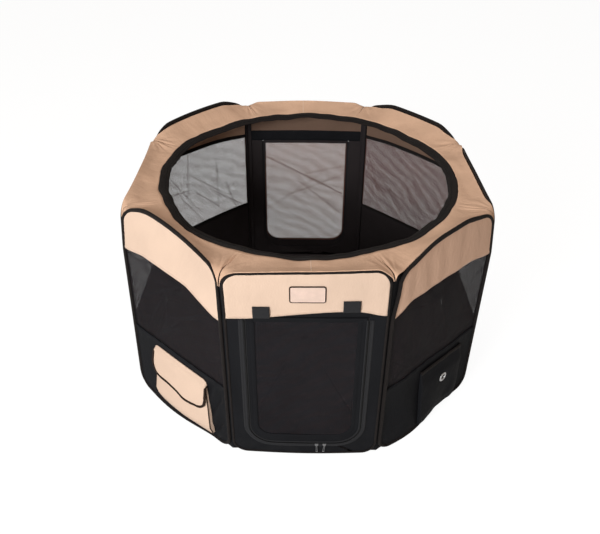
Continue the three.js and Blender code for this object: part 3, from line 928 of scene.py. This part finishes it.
for k in DOORS:
    name = NAMES[k]
    door = f"{name}_door"
    inner = door_outline(DOOR_X, DOOR_SILL, DOOR_R, BAND_Z + 0.008)
    edge = []
    for x, z, nx, nz in inner:
        reach_x = HALF_W - INSET
        if nz == 0:
            edge.append((math.copysign(reach_x, nx), z))
        else:
            r = CORNER_R - INSET
            if nx == 0:
                edge.append((x * (HALF_W - CORNER_R) / (DOOR_X - DOOR_R), INSET))
            else:
                cx = math.copysign(HALF_W - CORNER_R, nx)
                edge.append((cx + r * nx, CORNER_R + r * nz))
    P, uv, low = strip_between(k, inner, edge, 12, lambda s: MID + 0.0002 * (1 - s), 0.0016)
    surround = sheet_from(f"{name}_surround", P, uv, CLOTH_THICK, [black, black_inside], flip=True, low=low)
    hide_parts(f"{name}_door_surround")
    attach(surround, body(k))
    declare_sheet(uv)

    # Zip tape sewn to the panel along the door's edge, with its coil.
    zip_in = door_outline(DOOR_X - 0.0050, DOOR_SILL + 0.0050, DOOR_R - 0.0050, BAND_Z - 0.007)
    zip_out = door_outline(DOOR_X + 0.0125, DOOR_SILL - 0.0125, DOOR_R + 0.0125, BAND_Z - 0.007)
    P, uv, low = strip_between(
        k, zip_in, zip_out, 19,
        lambda s: MID + 0.0017 + 0.0007 * abs(math.sin(3 * math.pi * s)) - 0.0005 * s, 0.0)
    panel_tape = sheet_from(f"{name}_zip_tape", P, uv, 0.0009, [webbing_black], low=low)
    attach(panel_tape, body(k))
    chain = door_outline(DOOR_X - 0.0002, DOOR_SILL + 0.0002, DOOR_R, BAND_Z - 0.009, 60, 20, 40)
    path = [bowed(k, x, MID + 0.0030, z) for x, z, *_ in chain]
    coil_row = tube(f"{name}_zip_coil", path, 0.0024, 8, [coil], squeeze=0.5)
    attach(coil_row, body(k))

    # The door: a cloth border, sewn round the mesh.
    gap = 0.0022
    d_out = door_outline(DOOR_X - gap, DOOR_SILL + gap, DOOR_R - gap, BAND_Z - 0.0015)
    d_in = door_outline(*((0.1165, 0.0690, 0.036) if k == 0 else (0.1305, 0.0740, 0.040)), BAND_Z - 0.0095)
    P, uv, low = strip_between(
        k, d_in, d_out, 14, lambda s: MID + 0.0007 * abs(math.sin(2 * math.pi * s)), 0.0012)
    border = sheet_from(f"{door}_border", P, uv, CLOTH_THICK, [black, black_inside], flip=True, low=low)
    hang(border)
    bar_z = np.linspace(BAND_Z - 0.0135, BAND_Z - 0.0015, 6)
    top = [[(x, z) for x in np.linspace(-0.1380, 0.1380, 60)] for z in bar_z]
    P = np.array([[bowed(k, x, MID + 0.0002, z) for x, z in row] for row in top])
    top_bar = sheet_from(f"{door}_top_bar", P, np.array(top), 0.0022, [black, black_inside])
    hang(top_bar)

    # Black header behind the band's foot: a wide bar inside the back door, a narrow one at the front.
    P, flat = [], []
    for t in np.linspace(0, 1, 7):
        row, flat_row = [], []
        for u in np.linspace(-1, 1, 61):
            tall = 0.034 if k == 4 else max(0.0, band_dip(k, u)) + 0.006
            z = BAND_Z - 0.003 + t * tall
            x = u * half_width(z)
            row.append(bowed(k, x, MID - (0.0030 if k == 4 else 0.0017), z))
            flat_row.append((x, z))
        P.append(row), flat.append(flat_row)
    header = sheet_from(f"{name}_header", P, flat, 0.0008, [black])
    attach(header, body(k))

    # The door's mesh, with a few long creases.
    rows = []
    r, sill, half = (0.042, 0.063, 0.1225) if k == 0 else (0.046, 0.068, 0.1345)
    heights = [sill + r - r * math.cos(math.radians(a)) for a in (0, 12, 24, 36, 48, 60, 75)]
    heights += list(np.linspace(sill + r, BAND_Z - 0.004, 110))
    for z in heights:
        wide = half if z > sill + r else half - r + math.sqrt(max(r * r - (sill + r - z) ** 2, 0))
        rows.append([(wide * u, z) for u in np.linspace(-1, 1, 81)])
    uv = np.array(rows)
    P = np.array([
        [bowed(k, x, MID - 0.0004 + smooth(0, 0.03, half - abs(x)) * 0.0022 * wob(x * 14, z * 4, 21 + k), z)
         for x, z in row] for row in rows
    ])
    crease = np.zeros(uv.shape[:2])
    for x0, z0, x1, z1, strength in DOOR_CREASES[k]:
        run_x, run_z = x1 - x0, z1 - z0
        t = ((uv[..., 0] - x0) * run_x + (uv[..., 1] - z0) * run_z) / (run_x**2 + run_z**2)
        t = np.clip(t, 0, 1)
        away = np.hypot(uv[..., 0] - x0 - t * run_x, uv[..., 1] - z0 - t * run_z)
        crease = np.maximum(crease, (1 - smooth(0.0006, 0.0030, away)) * strength)
    # The door's inside face takes the lighter brown netting: painted light.
    faces = [net_door, net_back_painted_light if k == 4 else net_inside_painted_light]
    mesh = sheet_from(f"{door}_net", P, uv, MESH_THICK, faces, crease=crease)
    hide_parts(f"{name}_door_mesh")
    hang(mesh)
    declare_sheet(uv)

# ---------------------------------------------------------------- hinge strips between the panels


def hinge_strip(name, k, side):
    """Corner cloth from panel k to the next: side -1 is panel k's half, 1 the next one's, 0 both.
    It widens at the foot, where the hoops' corners are rounded."""
    shares = (0, 0.15, 0.3, 0.5, 0.7, 0.85, 1)
    low = [0.004 + 0.034 * (i / 14) ** 1.4 for i in range(15)]
    P, uv = [], []
    for z in low + list(np.linspace(0.044, HEIGHT - CORNER_R + (0.020 if k == 0 else 0.010), 60)):
        edge = half_width(z, 0.0) - 0.0080
        points = []
        if side <= 0:
            points += [(k, edge + (HINGE_X - edge) * t, t) for t in shares]
        if side >= 0:
            mirrored = [((k + 1) % 8, -(edge + (HINGE_X - edge) * t), t) for t in shares[::-1]]
            points += mirrored[1:] if side == 0 else mirrored
        row, flat = [], []
        for p, x, t in points:
            puff = 0.0012 * t * (1 + 0.8 * wob(z * 26, k * 4.1, 31))
            puff += 0.0004 * (1 - t) * wob(z * 60, x * 90, 33 + k)
            dx, dd = pushed(p, x, z)
            lap = math.copysign(0.0012, x) * t if side else 0.0
            row.append(at(p, x + dx + lap + leaned(p, x, z) * (1 - t), INNER - 0.0004 + puff + dd, z))
            flat.append(((x - HINGE_X) if p == k else (x + HINGE_X), z))
        P.append(row), uv.append(flat)
    piece = sheet_from(name, P, uv, 0.0010, [black, black_inside])
    return piece, np.array(uv)


for k, name in enumerate(NAMES):
    nxt = (k + 1) % 8
    node = f"hinge_strip_{name}_to_{NAMES[nxt]}"
    if k == 4:
        for side, owner, word in ((-1, k, "back_half"), (1, nxt, "back_left_half")):
            piece, uv = hinge_strip(f"corner_cloth_{name}_{word}", k, side)
            if side == -1:
                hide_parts(node)
            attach(piece, body(owner))
            declare_sheet(uv)
        continue
    piece, uv = hinge_strip(f"corner_cloth_{name}_{NAMES[nxt]}", k, 0)
    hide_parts(node)
    declare_sheet(uv)
    a, b = at(k, HALF_W + 0.001, HINGE_PLANE, 0.29), at(nxt, -HALF_W - 0.001, HINGE_PLANE, 0.29)
    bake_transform(piece)

# ---------------------------------------------------------------- top ring and rim, a sector to each panel


def bearing_of(k, x):
    """Bearing of a place on panel k, from the front."""
    return k * TURN + math.atan2(x, HINGE_PLANE)


# Where the rim is drawn in: bearing and reach in degrees, depth in metres.
RIM_DENTS = ((-88, 34, 0.009), (124, 15, 0.012), (-140, 14, 0.004), (165, 12, -0.003))


def rim_radius(a):
    """The opening's radius at bearing a."""
    c, s = math.cos(a), math.sin(a)
    r = RING_R + 0.0055 * wob(c * 2.6, s * 2.6, 41) + 0.0040 * wob(c * 6, s * 6, 42)
    r += 0.0016 * math.cos(8 * a)
    for bearing, reach, depth in RIM_DENTS:
        off = (math.degrees(a) - bearing + 180) % 360 - 180
        r -= depth * math.exp(-((off / reach) ** 2))
    return r + 0.0011 * wob(c * 19, s * 19, 48)


def rim_height(a):
    """How high the rim stands at bearing a."""
    c, s = math.cos(a), math.sin(a)
    z = RING_IN_Z + 0.004 + 0.005 * wob(c * 3.1, s * 3.1, 43) + 0.0035 * wob(c * 9, s * 9, 44)
    return z - 0.0015 * math.cos(8 * a)


def rim_tilt(a):
    """How steeply the rim tape slopes down inwards at bearing a."""
    return 0.22 + 0.12 * wob(math.cos(a) * 5, math.sin(a) * 5, 51)


def around(a, r, z):
    """Bearing a is measured from the front, turning towards the right."""
    return (r * math.sin(a), -r * math.cos(a), z)


def over_hoop(k, x):
    """1 where the ring's edge laps over the hoop, 0 where the hoop stands up behind it."""
    return 1.0 - (float(smooth(1.0, 0.62, abs(x) / HINGE_X)) if k % 2 or k == 2 else 0.0)


FLOOR_LAP = 0.0008  # how far each floor slice reaches under its neighbours
RING_CORNER_R = CORNER_R + 0.0014


def ring_edge(x):
    """How far the ring's outer edge has dropped, following the hoop's rounded corner."""
    past = max(0.0, abs(x) - (HALF_W - CORNER_R))
    if past >= RING_CORNER_R:
        return RING_CORNER_R
    return RING_CORNER_R - math.sqrt(RING_CORNER_R**2 - past * past)


ROUND = [HALF_W - CORNER_R + RING_CORNER_R * math.sin(math.radians(a)) for a in range(0, 91, 6)]
SECTOR_ENDS = [i * v for v in ROUND + [HINGE_X] for i in (-1, 1)]
SECTOR_X = sorted(set(list(np.linspace(-0.138, 0.138, 37)) + SECTOR_ENDS))


def ring_up(k, x):
    """The hoop's rise, eased at each corner to what the two panels there share."""
    other = (k + (1 if x > 0 else -1)) % 8
    shared = (arch_up(k, math.copysign(HINGE_X, x)) + arch_up(other, math.copysign(HINGE_X, -x))) / 2
    t = float(smooth(0.150, HINGE_X, abs(x)))
    return arch_up(k, x) * (1 - t) + shared * t


def ring_point(k, x, s):
    """s is 0 at the panel's top and 1 at the rim."""
    a = bearing_of(k, x)
    arch = max(0.0, 1 - (x / HALF_W) ** 2)
    over = over_hoop(k, x)
    dx, dd = pushed(k, x, HEIGHT)
    z_out = RING_OUT_Z + 0.0074 * over - (0.0050 * (1 - over) if k in (3, 5) else 0.0) + ring_up(k, x)
    reach = INNER - 0.0016 + (MID + 0.0028 - INNER) * over + (BOW_OUT[k] - PULL_IN[k]) * arch
    outer = np.array(at(k, x + dx, reach + dd, 0))
    inner = np.array(around(a, rim_radius(a), 0))
    p = outer + (inner - outer) * s
    run = float(np.linalg.norm(inner - outer)) * s
    z = z_out + (rim_height(a) - z_out) * s
    z -= 0.0035 * math.sin(math.pi * s) * (0.6 + 0.4 * arch)
    x_here = abs(float(np.dot(p[:2], at(k, 1, 0, 0)[:2])))
    dip = ring_edge(x_here - abs(dx) * (1 - s))
    corner_index = k if x > 0 else (k - 1) % 8
    short = 0.014 if corner_index in (7, 0) else 0.007
    dip *= 0.55 if corner_index == 0 else 1.0
    z -= dip * (0.92 * math.exp(-run / short) + 0.08 * math.exp(-run / 0.030))
    corner = smooth(0.60, 1.0, abs(x) / HINGE_X)
    away = math.hypot((HINGE_X - abs(x)), s * 0.07) + 1e-6
    ray = math.atan2(s * 0.07, HINGE_X - abs(x) + 0.002)
    creases = wob(ray * 7.0 + 5 * corner_index, away * 10, 45) * min(away / 0.03, 1)
    z += 0.0050 * creases * corner * math.sin(math.pi * min(1, s + 0.12)) * min(1, s / 0.12)
    z += (0.0026 * wob(x * 16 + 7 * k, s * 2.2, 47) * math.sin(math.pi * s)
          * float(smooth(0.0, 0.03, HINGE_X - abs(x))))
    return (p[0], p[1], z)


for k, name in enumerate(NAMES):
    normal = np.array(at(k, 0, 1, 0))
    across = np.linspace(0, 1, 18) ** 1.6
    P = np.array([[ring_point(k, x, s) for x in SECTOR_X] for s in across])
    sideways = np.array(at(k, 1, 0, 0)[:2])
    uv = np.array([
        [(float(np.dot(p[:2], sideways)), float(np.dot(p[:2], normal[:2]))) for p in row] for row in P
    ])
    wear = np.array([[max(0, 1 - min(s, 1 - s) / 0.12) for _ in SECTOR_X] for s in across])
    # The ring takes the darker beige copy: painted shade.
    ring = sheet_from(f"{name}_ring", P, uv, CLOTH_THICK, [beige_ring_painted_shade, lining], wear=wear)
    if k == 0:
        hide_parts("top_ring")
    declare_sheet(uv)
    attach(ring, body(k))
    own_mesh(ring)

    if k in (0, 4):
        lap = [np.array(ring_point(k, 0.010, t)) + (0, 0, 0.0009) for t in np.linspace(0.02, 0.97, 30)]
        seam = tube(f"{name}_ring_seam", lap, 0.0008, 6, [beige_thread], squeeze=0.6)
        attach(seam, body(k))
        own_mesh(seam)

    # Rim: black tape folded over the ring's edge, with one half of the cover's zip.
    section = [
        (0.0015, 0.0004), (0.0, 0.0016), (-0.004, 0.0021), (-0.010, 0.0018), (-0.017, 0.0016),
        (-0.0205, 0.0008), (-0.0212, -0.0004), (-0.0200, -0.0016), (-0.010, -0.0020), (-0.002, -0.0020),
    ]
    sections, along = [], []
    for x in SECTOR_X:
        a = bearing_of(k, x)
        r, z = rim_radius(a), rim_height(a)
        tilt = rim_tilt(a)
        width = 1.16 + 0.16 * wob(math.cos(a) * 9, math.sin(a) * 9, 53)
        sections.append([around(a, r + dr * width, z + dz + dr * tilt) for dr, dz in section])
        along.append(a * RING_R)
    rim = sweep(
        f"{name}_rim", sections, [tape], outline_lengths(section), along, closed=False,
        wear=[[0.3] * len(section)] * len(SECTOR_X))
    fix_normals(rim)
    if k == 0:
        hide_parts("rim_zip")
    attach(rim, body(k))
    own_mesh(rim)
    path = []
    for x in np.linspace(-HINGE_X, HINGE_X, 60):
        a = bearing_of(k, x)
        path.append(around(a, rim_radius(a) - 0.0145, rim_height(a) + 0.0022 - 0.0145 * rim_tilt(a)))
    row = tube(f"{name}_rim_coil", path, 0.0013, 6, [coil], squeeze=0.7)
    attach(row, body(k))
    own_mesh(row)

    # Floor: one slice of the cloth to each panel.
    edge_rows = INNER + np.array([-0.005, -0.003, -0.0005, 0.0015])
    reach = np.concatenate([np.linspace(0.0004, INNER - 0.008, 28), edge_rows])
    P, uv, local = [], [], []
    for d in reach:
        row, weave, flat = [], [], []
        for u in np.linspace(-1, 1, 25):
            x = u * (d * math.tan(TURN / 2) + FLOOR_LAP)
            place = at(k, x, d, 0)
            lump = 0.0034 * max(0, wob(place[0] * 6, place[1] * 6, 61))
            lump += 0.0016 * max(0, wob(place[0] * 19, place[1] * 19, 63))
            share = min(1.0, d / INNER) ** 6
            foot = np.array(bowed(k, x, d, 0.0)) - np.array(place)
            place_out = np.array(place) + foot * share
            rise = 0.0045 * float(smooth(INNER - 0.007, INNER, d))
            row.append((place_out[0], place_out[1], 0.0011 + rise + lump * float(smooth(0, 0.05, INNER - d))))
            weave.append((place[0], place[1]))
            flat.append((x, d))
        P.append(row), uv.append(weave), local.append(flat)
    slice_ = sheet_from(f"{name}_floor", P, uv, 0.0018, [floor_cloth])
    fix_normals(slice_)
    if k == 0:
        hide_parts("floor")
    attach(slice_, body(k))
    declare_sheet(local)
    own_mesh(slice_)

# ---------------------------------------------------------------- badge patch and webbing tabs


def rounded_outline(x0, x1, z0, z1, r, steps=8):
    """A rectangle with rounded corners, anticlockwise from its lower right corner."""
    low, high = z0 + r, z1 - r
    corners = ((x1 - r, low, -90), (x1 - r, high, 0), (x0 + r, high, 90), (x0 + r, low, 180))
    return [p[:2] for cx, cz, start in corners for p in arc(cx, cz, r, start, steps, 1)]


def slab(name, k, outline, profile, materials, band=None):
    """A flat piece with shaped edges: profile is (inset, distance out from the axis) from its back
    to its middle. The faces in band take the second material."""
    loops = []
    o = np.array(outline)
    t = np.roll(o, -1, 0) - np.roll(o, 1, 0)
    t /= np.linalg.norm(t, axis=1, keepdims=True)
    inward = np.stack([-t[:, 1], t[:, 0]], 1)
    for inset, d in profile:
        loops.append([(x, z, d) for x, z in o + inward * inset])
    m = len(o)
    verts, uvs = [], []
    for loop in loops:
        for x, z, d in loop:
            verts.append(bowed(k, x, d, z))
            uvs.append((x, z))
    faces, which = [], []
    for i in range(len(loops) - 1):
        for j in range(m):
            j2 = (j + 1) % m
            faces.append([i * m + j, i * m + j2, (i + 1) * m + j2, (i + 1) * m + j])
            which.append(1 if band and band[0] <= i < band[1] else 0)
    faces.append([(len(loops) - 1) * m + j for j in range(m)])
    which.append(0)
    faces.append(list(range(m))[::-1])
    which.append(0)
    return fix_normals(new_object(name, verts, faces, materials, uvs, which))


base = MID + 0.0022
badge = slab(
    "badge", 0, rounded_outline(-0.0375, 0.043, 0.4985, 0.544, 0.0065),
    [(0, base), (0, base + 0.0014), (0.0006, base + 0.0020), (0.0022, base + 0.0021), (0.0027, base + 0.0017),
     (0.0034, base + 0.0013), (0.0050, base + 0.0014)],
    [patch_face, brown], band=(0, 4),
)
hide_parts("badge_patch")
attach(badge, body(0))


TAB_HALF = 0.019


def webbing_tab(name, k, x, z0, z1, d):
    """A folded loop of webbing, sewn down at its foot."""
    P, uv = [], []
    for t in np.linspace(0, 1, 15):
        z = z0 + (z1 - z0) * t
        out = d + 0.0022 * math.sin(math.pi * t) ** 0.7
        row = [(u, x + TAB_HALF * u) for u in np.linspace(-1, 1, 13)]
        P.append([bowed(k, px, out + 0.0003 * wob(u * 3, z * 60, 71 + x), z) for u, px in row])
        uv.append([(px, z) for u, px in row])
    return sheet_from(name, P, uv, 0.0018, [webbing_black])


for k, side in ((0, ""), (4, "back_")):
    for x, word in ((-0.100, "left"), (0.100, "right")):
        low, high = (0.472, 0.503) if k == 0 and x > 0 else (0.453, 0.4865)
        tab = webbing_tab(f"{side}tab_{word}", k, x, low, high, MID + 0.0030)
        if k == 0:
            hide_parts(f"strap_tab_{word}")
        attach(tab, body(k))

# ---------------------------------------------------------------- zip sliders


def zip_slider(name, k, x, lean):
    """Slider body, bridge and pull in one piece, hanging from the zip at the bottom of the door."""
    top, waist, low = 0.0405, 0.036, 0.031
    d = MID + 0.0034
    plate = [
        (-0.0045, top), (-0.0045, waist), (-0.0030, low), (0.0030, low), (0.0045, waist), (0.0045, top),
    ]
    bridge = [
        (-0.0012, top - 0.001), (-0.0012, low + 0.0015), (0.0012, low + 0.0015), (0.0012, top - 0.001),
    ]
    verts, faces = [], []
    for outline, d0, d1 in ((plate, d, d + 0.0011), (bridge, d + 0.0009, d + 0.0026)):
        m, base_index = len(outline), len(verts)
        for dd in (d0, d1):
            verts += [bowed(k, x + px, dd, pz) for px, pz in outline]
        faces.append([base_index + j for j in range(m)])
        faces.append([base_index + m + j for j in range(m)][::-1])
        for j in range(m):
            j2 = (j + 1) % m
            faces.append([base_index + j, base_index + m + j, base_index + m + j2, base_index + j2])
    # The pull: a flat ring-ended tag.
    m = 28
    outer, inner = [], []
    for i in range(m):
        a = 2 * math.pi * i / m
        cx, cz = math.sin(a), math.cos(a)
        wide = 0.0016 + 0.0013 * float(smooth(-0.2, -1.0, cz)) + 0.0006 * float(smooth(0.4, 1, cz))
        z = 0.0213 + 0.0105 * cz
        outer.append((wide * 1.25 * math.copysign(abs(cx) ** 0.6, cx), z))
        inner.append((wide * 0.55 * math.copysign(abs(cx) ** 0.6, cx), 0.0213 + 0.0085 * cz))
    base_index = len(verts)
    for ring_pts in (outer, inner):
        for dd in (d + 0.0018, d + 0.0029):
            for px, pz in ring_pts:
                verts.append(bowed(k, x + px + lean * (0.032 - pz), dd, pz))
    for j in range(m):
        o0, o1 = base_index + j, base_index + (j + 1) % m
        faces.append([o0, o1, o1 + m, o0 + m])
        faces.append([o0 + 2 * m, o0 + 3 * m, o1 + 3 * m, o1 + 2 * m])
        faces.append([o0, o0 + 2 * m, o1 + 2 * m, o1])
        faces.append([o0 + m, o1 + m, o1 + 3 * m, o0 + 3 * m])
    obj = new_object(
        name, verts, faces, [slider_metal], uv=np.zeros((len(verts), 2)), flat=range(len(faces)))
    fix_normals(obj)
    bevel = obj.modifiers.new("bevel", "BEVEL")
    bevel.width = 0.0003
    bevel.segments = 2
    return obj


for x, lean, node in ((0.031, 0.05, "zip_slider_left"), (0.051, -0.12, "zip_slider_right")):
    piece = zip_slider(f"{node}_metal", 0, x, lean)
    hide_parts(node)
    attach(piece, node)
for x, lean, word in ((-0.010, 0.08, "left"), (0.012, -0.05, "right")):
    piece = zip_slider(f"back_zip_slider_{word}_metal", 4, x, lean)
    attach(piece, body(4))

# --------------------------------------------------------------- treat pocket with its flap, front left panel

TREAT = dict(x0=-0.083, x1=0.126, low=0.043, high=0.180)


def treat_place(x, z):
    """The pocket narrows a little to its mouth on the right, and its foot runs down to the right."""
    across = (x - TREAT["x0"]) / (TREAT["x1"] - TREAT["x0"])
    up = (z - TREAT["low"]) / (TREAT["high"] - TREAT["low"])
    up = min(max(up, 0.0), 1.0)
    return x - 0.016 * across * up, z - 0.020 * across * (1 - up)


def treat_depth(x, z):
    """How far the pocket's front stands out from the panel's cloth."""
    t = (z - TREAT["low"]) / (TREAT["high"] - TREAT["low"])
    u = (x - TREAT["x0"]) / (TREAT["x1"] - TREAT["x0"]) * 2 - 1
    deep = 0.0215 - 0.0150 * t
    deep *= (1 - abs(u) ** 7 * 0.28)
    deep *= 0.55 + 0.45 * float(smooth(0, 0.16, t))
    return deep + 0.0012 * wob(x * 16, z * 12, 81)


def pocket_shell(name, k, x0, x1, low, high, depth, materials, rows=26, cols=64,
                 place=lambda x, z: (x, z)):
    """One cloth: up the left gusset, across the front and down the right gusset, closed at the
    bottom."""
    P, uv = [], []
    for z in np.linspace(low, high, rows):
        row, flat = [], []
        side = 6
        for i in range(side):
            t = i / side
            px, pz = place(x0, z)
            row.append(bowed(k, px, CLOTH_OUT + 0.0006 + (depth(x0, z) - 0.0006) * t, pz))
            flat.append((x0 - depth(x0, z) * (1 - t), z))
        for x in np.linspace(x0, x1, cols):
            px, pz = place(x, z)
            row.append(bowed(k, px, CLOTH_OUT + depth(x, z), pz))
            flat.append((x, z))
        for i in range(1, side + 1):
            t = i / side
            px, pz = place(x1, z)
            row.append(bowed(k, px, CLOTH_OUT + 0.0006 + (depth(x1, z) - 0.0006) * (1 - t), pz))
            flat.append((x1 + depth(x1, z) * t, z))
        P.append(row), uv.append(flat)
    # Bottom: the lowest rows turn in to the panel.
    first = np.array(P[0])
    feet = [place(float(np.clip(f[0], x0, x1)), low) for f in uv[0]]
    base_row = np.array([bowed(k, px, CLOTH_OUT + 0.0006, pz) for px, pz in feet])
    turned, turned_uv = [], []
    for t in (0.0, 0.35, 0.7):
        turned.append(base_row + (first - base_row) * t)
        turned_uv.append([(f[0], low - 0.012 * (1 - t)) for f in uv[0]])
    P, uv = turned + P, turned_uv + uv
    return sheet_from(name, np.array(P), np.array(uv), 0.0013, materials), np.array(P), np.array(uv)


pocket, P, uv = pocket_shell(
    "treat_pocket_cloth", 7, **TREAT, depth=treat_depth, materials=[beige, lining], place=treat_place)
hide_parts("treat_pocket")
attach(pocket, body(7))


def edge_tape(name, path, normals, width, thick, material):
    """Narrow tape folded over a cloth's edge: path along the edge, normals out of the cloth."""
    path, normals = np.asarray(path, float), np.asarray(normals, float)
    tangent = np.gradient(path, axis=0)
    tangent /= np.linalg.norm(tangent, axis=1, keepdims=True)
    side = np.cross(normals, tangent)
    side /= np.linalg.norm(side, axis=1, keepdims=True)
    shape = [
        (-width / 2, thick * 0.35), (-width * 0.3, thick * 0.5), (width * 0.3, thick * 0.5),
        (width / 2, thick * 0.2), (width / 2, -thick * 0.2), (width * 0.3, -thick * 0.5),
        (-width * 0.3, -thick * 0.5), (-width / 2, -thick * 0.35),
    ]
    sections = [[path[i] + side[i] * a + normals[i] * b for a, b in shape] for i in range(len(path))]
    across, along = outline_lengths(shape), run_lengths(path)
    return fix_normals(sweep(name, sections, [material], across, along, closed=False))


# Piping up the pocket's two front corners.
for x, word in ((TREAT["x0"], "left"), (TREAT["x1"], "right")):
    path = []
    for z in np.linspace(TREAT["low"] + 0.001, TREAT["high"] - 0.002, 40):
        px, pz = treat_place(x, z)
        path.append(bowed(7, px, CLOTH_OUT + treat_depth(x, z) + 0.0003, pz))
    piece = tube(f"treat_pocket_piping_{word}", path, 0.0016, 6, [brown])
    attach(piece, body(7))


FLAP_X0, FLAP_X1, FLAP_TOP = -0.093, 0.112, 0.1990
FLAP_CORNER, FLAP_TOP_CORNER = 0.026, 0.016


def flap_point(u, v):
    """u runs along the flap from -1 to 1, v from its sewn edge at 0 to its free edge at 1."""
    xm, half = (FLAP_X0 + FLAP_X1) / 2, (FLAP_X1 - FLAP_X0) / 2
    corner, top_corner = FLAP_CORNER / half, FLAP_TOP_CORNER / half
    x = xm + half * u
    length = 0.061 + 0.004 * math.sin(2.6 * u + 2.2) + 0.019 * float(smooth(-0.5, 0.6, u))
    past = max(0.0, abs(u) - (1 - corner)) / corner
    length -= FLAP_CORNER * (1 - math.sqrt(max(0.0, 1 - past * past)))
    past_top = max(0.0, abs(u) - (1 - top_corner)) / top_corner
    top = FLAP_TOP - 0.012 * (1 - math.sqrt(max(0.0, 1 - past_top * past_top)))
    z = top - (length - (0.1845 - top)) * v
    over = float(smooth(0.0, 0.20, v))
    rest_on = treat_depth(min(max(x, TREAT["x0"]), TREAT["x1"]), min(z, TREAT["high"])) + 0.0022
    curl = 0.0045 * v * v * (0.6 + 0.8 * math.sin(3.1 * u + 0.4) ** 2)
    curl += 0.0025 * wob(u * 2.4, v * 2, 91) * v
    out = CLOTH_OUT + 0.0014 + (rest_on - 0.0008) * over + curl
    return x, out, z


us, vs = np.linspace(-1, 1, 71), np.linspace(0, 1, 26)
P = np.array([[bowed(7, *flap_point(u, v)) for u in us] for v in vs[::-1]])
uv = np.array([[(flap_point(u, v)[0], flap_point(u, v)[2]) for u in us] for v in vs[::-1]])
flap = sheet_from("treat_flap_cloth", P, uv, 0.0014, [beige, lining])
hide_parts("treat_pocket_flap")
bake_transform(flap)
declare_sheet(uv)
free_edge = [(-1, v) for v in vs[2:]] + [(u, 1) for u in us[1:-1]] + [(1, v) for v in vs[:1:-1]]
path = np.array([bowed(7, *flap_point(u, v)) for u, v in free_edge])
normals = np.array([at(7, 0, 1, 0)] * len(path))
trim = edge_tape("treat_flap_binding", path, normals, 0.0075, 0.0034, brown)
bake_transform(trim)

# ----------------------------------------------------------- bottle pocket with its eyelet, front right panel

BOTTLE = dict(x0=-0.046, x1=0.118, low=0.014, high=0.190)
BOTTLE_DEPTH = 0.0150
EYE_X, EYE_Z = 0.038, 0.134


def bottle_depth(x, z):
    """How far the pocket's front stands out; it is flat and full round the eyelet."""
    t = (z - BOTTLE["low"]) / (BOTTLE["high"] - BOTTLE["low"])
    u = (x - BOTTLE["x0"]) / (BOTTLE["x1"] - BOTTLE["x0"]) * 2 - 1
    deep = (BOTTLE_DEPTH * (1 - 0.25 * abs(u) ** 5) * (0.62 + 0.38 * float(smooth(0, 0.2, t)))
            * (1 - 0.72 * float(smooth(0.72, 1, t))))
    flat_here = 1 - float(smooth(0.014, 0.034, math.hypot(x - EYE_X, z - EYE_Z)))
    lumps = 0.0024 * wob(x * 20, z * 9, 95) + 0.0012 * wob(x * 46, z * 20, 96)
    return deep * (1 - flat_here) + BOTTLE_DEPTH * flat_here + lumps * (1 - flat_here)


pocket, P, uv = pocket_shell(
    "bottle_pocket_cloth", 1, **BOTTLE, depth=bottle_depth, materials=[black, black_inside],
    rows=34, cols=56)
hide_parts("bottle_pocket")
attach(pocket, body(1))
path, normals = P[-1], np.array([at(1, 0, 1, 0)] * P.shape[1])
top_tape = edge_tape("bottle_pocket_binding", path + np.array([0, 0, 0.0005]), normals, 0.011, 0.0040, tape)
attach(top_tape, body(1))

# Eyelet: a rolled flange lathed round its hole.
profile = [
    (0.0074, -0.0030), (0.0076, 0.0006), (0.0084, 0.0017), (0.0100, 0.0022), (0.0120, 0.0019),
    (0.0134, 0.0010), (0.0140, 0.0001), (0.0134, -0.0003), (0.0092, -0.0002), (0.0086, -0.0030),
]
face = CLOTH_OUT + BOTTLE_DEPTH + 0.0011
sections = []
for i in range(48):
    a = 2 * math.pi * i / 48
    sections.append([bowed(1, EYE_X + r * math.cos(a), face + d, EYE_Z + r * math.sin(a)) for r, d in profile])
eyelet = fix_normals(sweep("eyelet", sections, [nickel], [p[0] for p in profile], np.linspace(0, 0.06, 48)))
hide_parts("bottle_pocket_eyelet")
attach(eyelet, body(1))
# The dark hole behind it.
HOLE_R, HOLE_OUT, HOLE_SIDES = 0.0078, CLOTH_OUT + 0.0158, 24
verts = [bowed(1, EYE_X, HOLE_OUT, EYE_Z)]
for i in range(HOLE_SIDES):
    a = 2 * math.pi * i / HOLE_SIDES
    verts.append(bowed(1, EYE_X + HOLE_R * math.cos(a), HOLE_OUT, EYE_Z + HOLE_R * math.sin(a)))
faces = [[0, 1 + i, 1 + (i + 1) % HOLE_SIDES] for i in range(HOLE_SIDES)]
disc = new_object("eyelet_hole", verts, faces, [black_inside])
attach(disc, body(1))

# ---------------------------------------------------------------- floor of the studio

n = Nodes("studio_floor")
n.tree.nodes.remove(n.shader)
diffuse = n.add("BsdfDiffuse")
diffuse.inputs["Color"].default_value = (0.9, 0.9, 0.9, 1)
glow = n.add("Emission")
glow.inputs["Strength"].default_value = 1.08
path_node = n.add("LightPath")
blend_node = n.add("MixShader")
n.set(blend_node.inputs["Fac"], n.math("MULTIPLY", path_node.outputs["Is Camera Ray"], 0.86))
n.tree.links.new(diffuse.outputs[0], blend_node.inputs[1])
n.tree.links.new(glow.outputs[0], blend_node.inputs[2])
n.tree.links.new(blend_node.outputs[0], n.output.inputs["Surface"])
corners = [(x, y, -0.0006) for x, y in ((-9, -9), (9, -9), (9, 9), (-9, 9))]
ground = new_object("studio_floor", corners, [[0, 1, 2, 3]], [n.material])
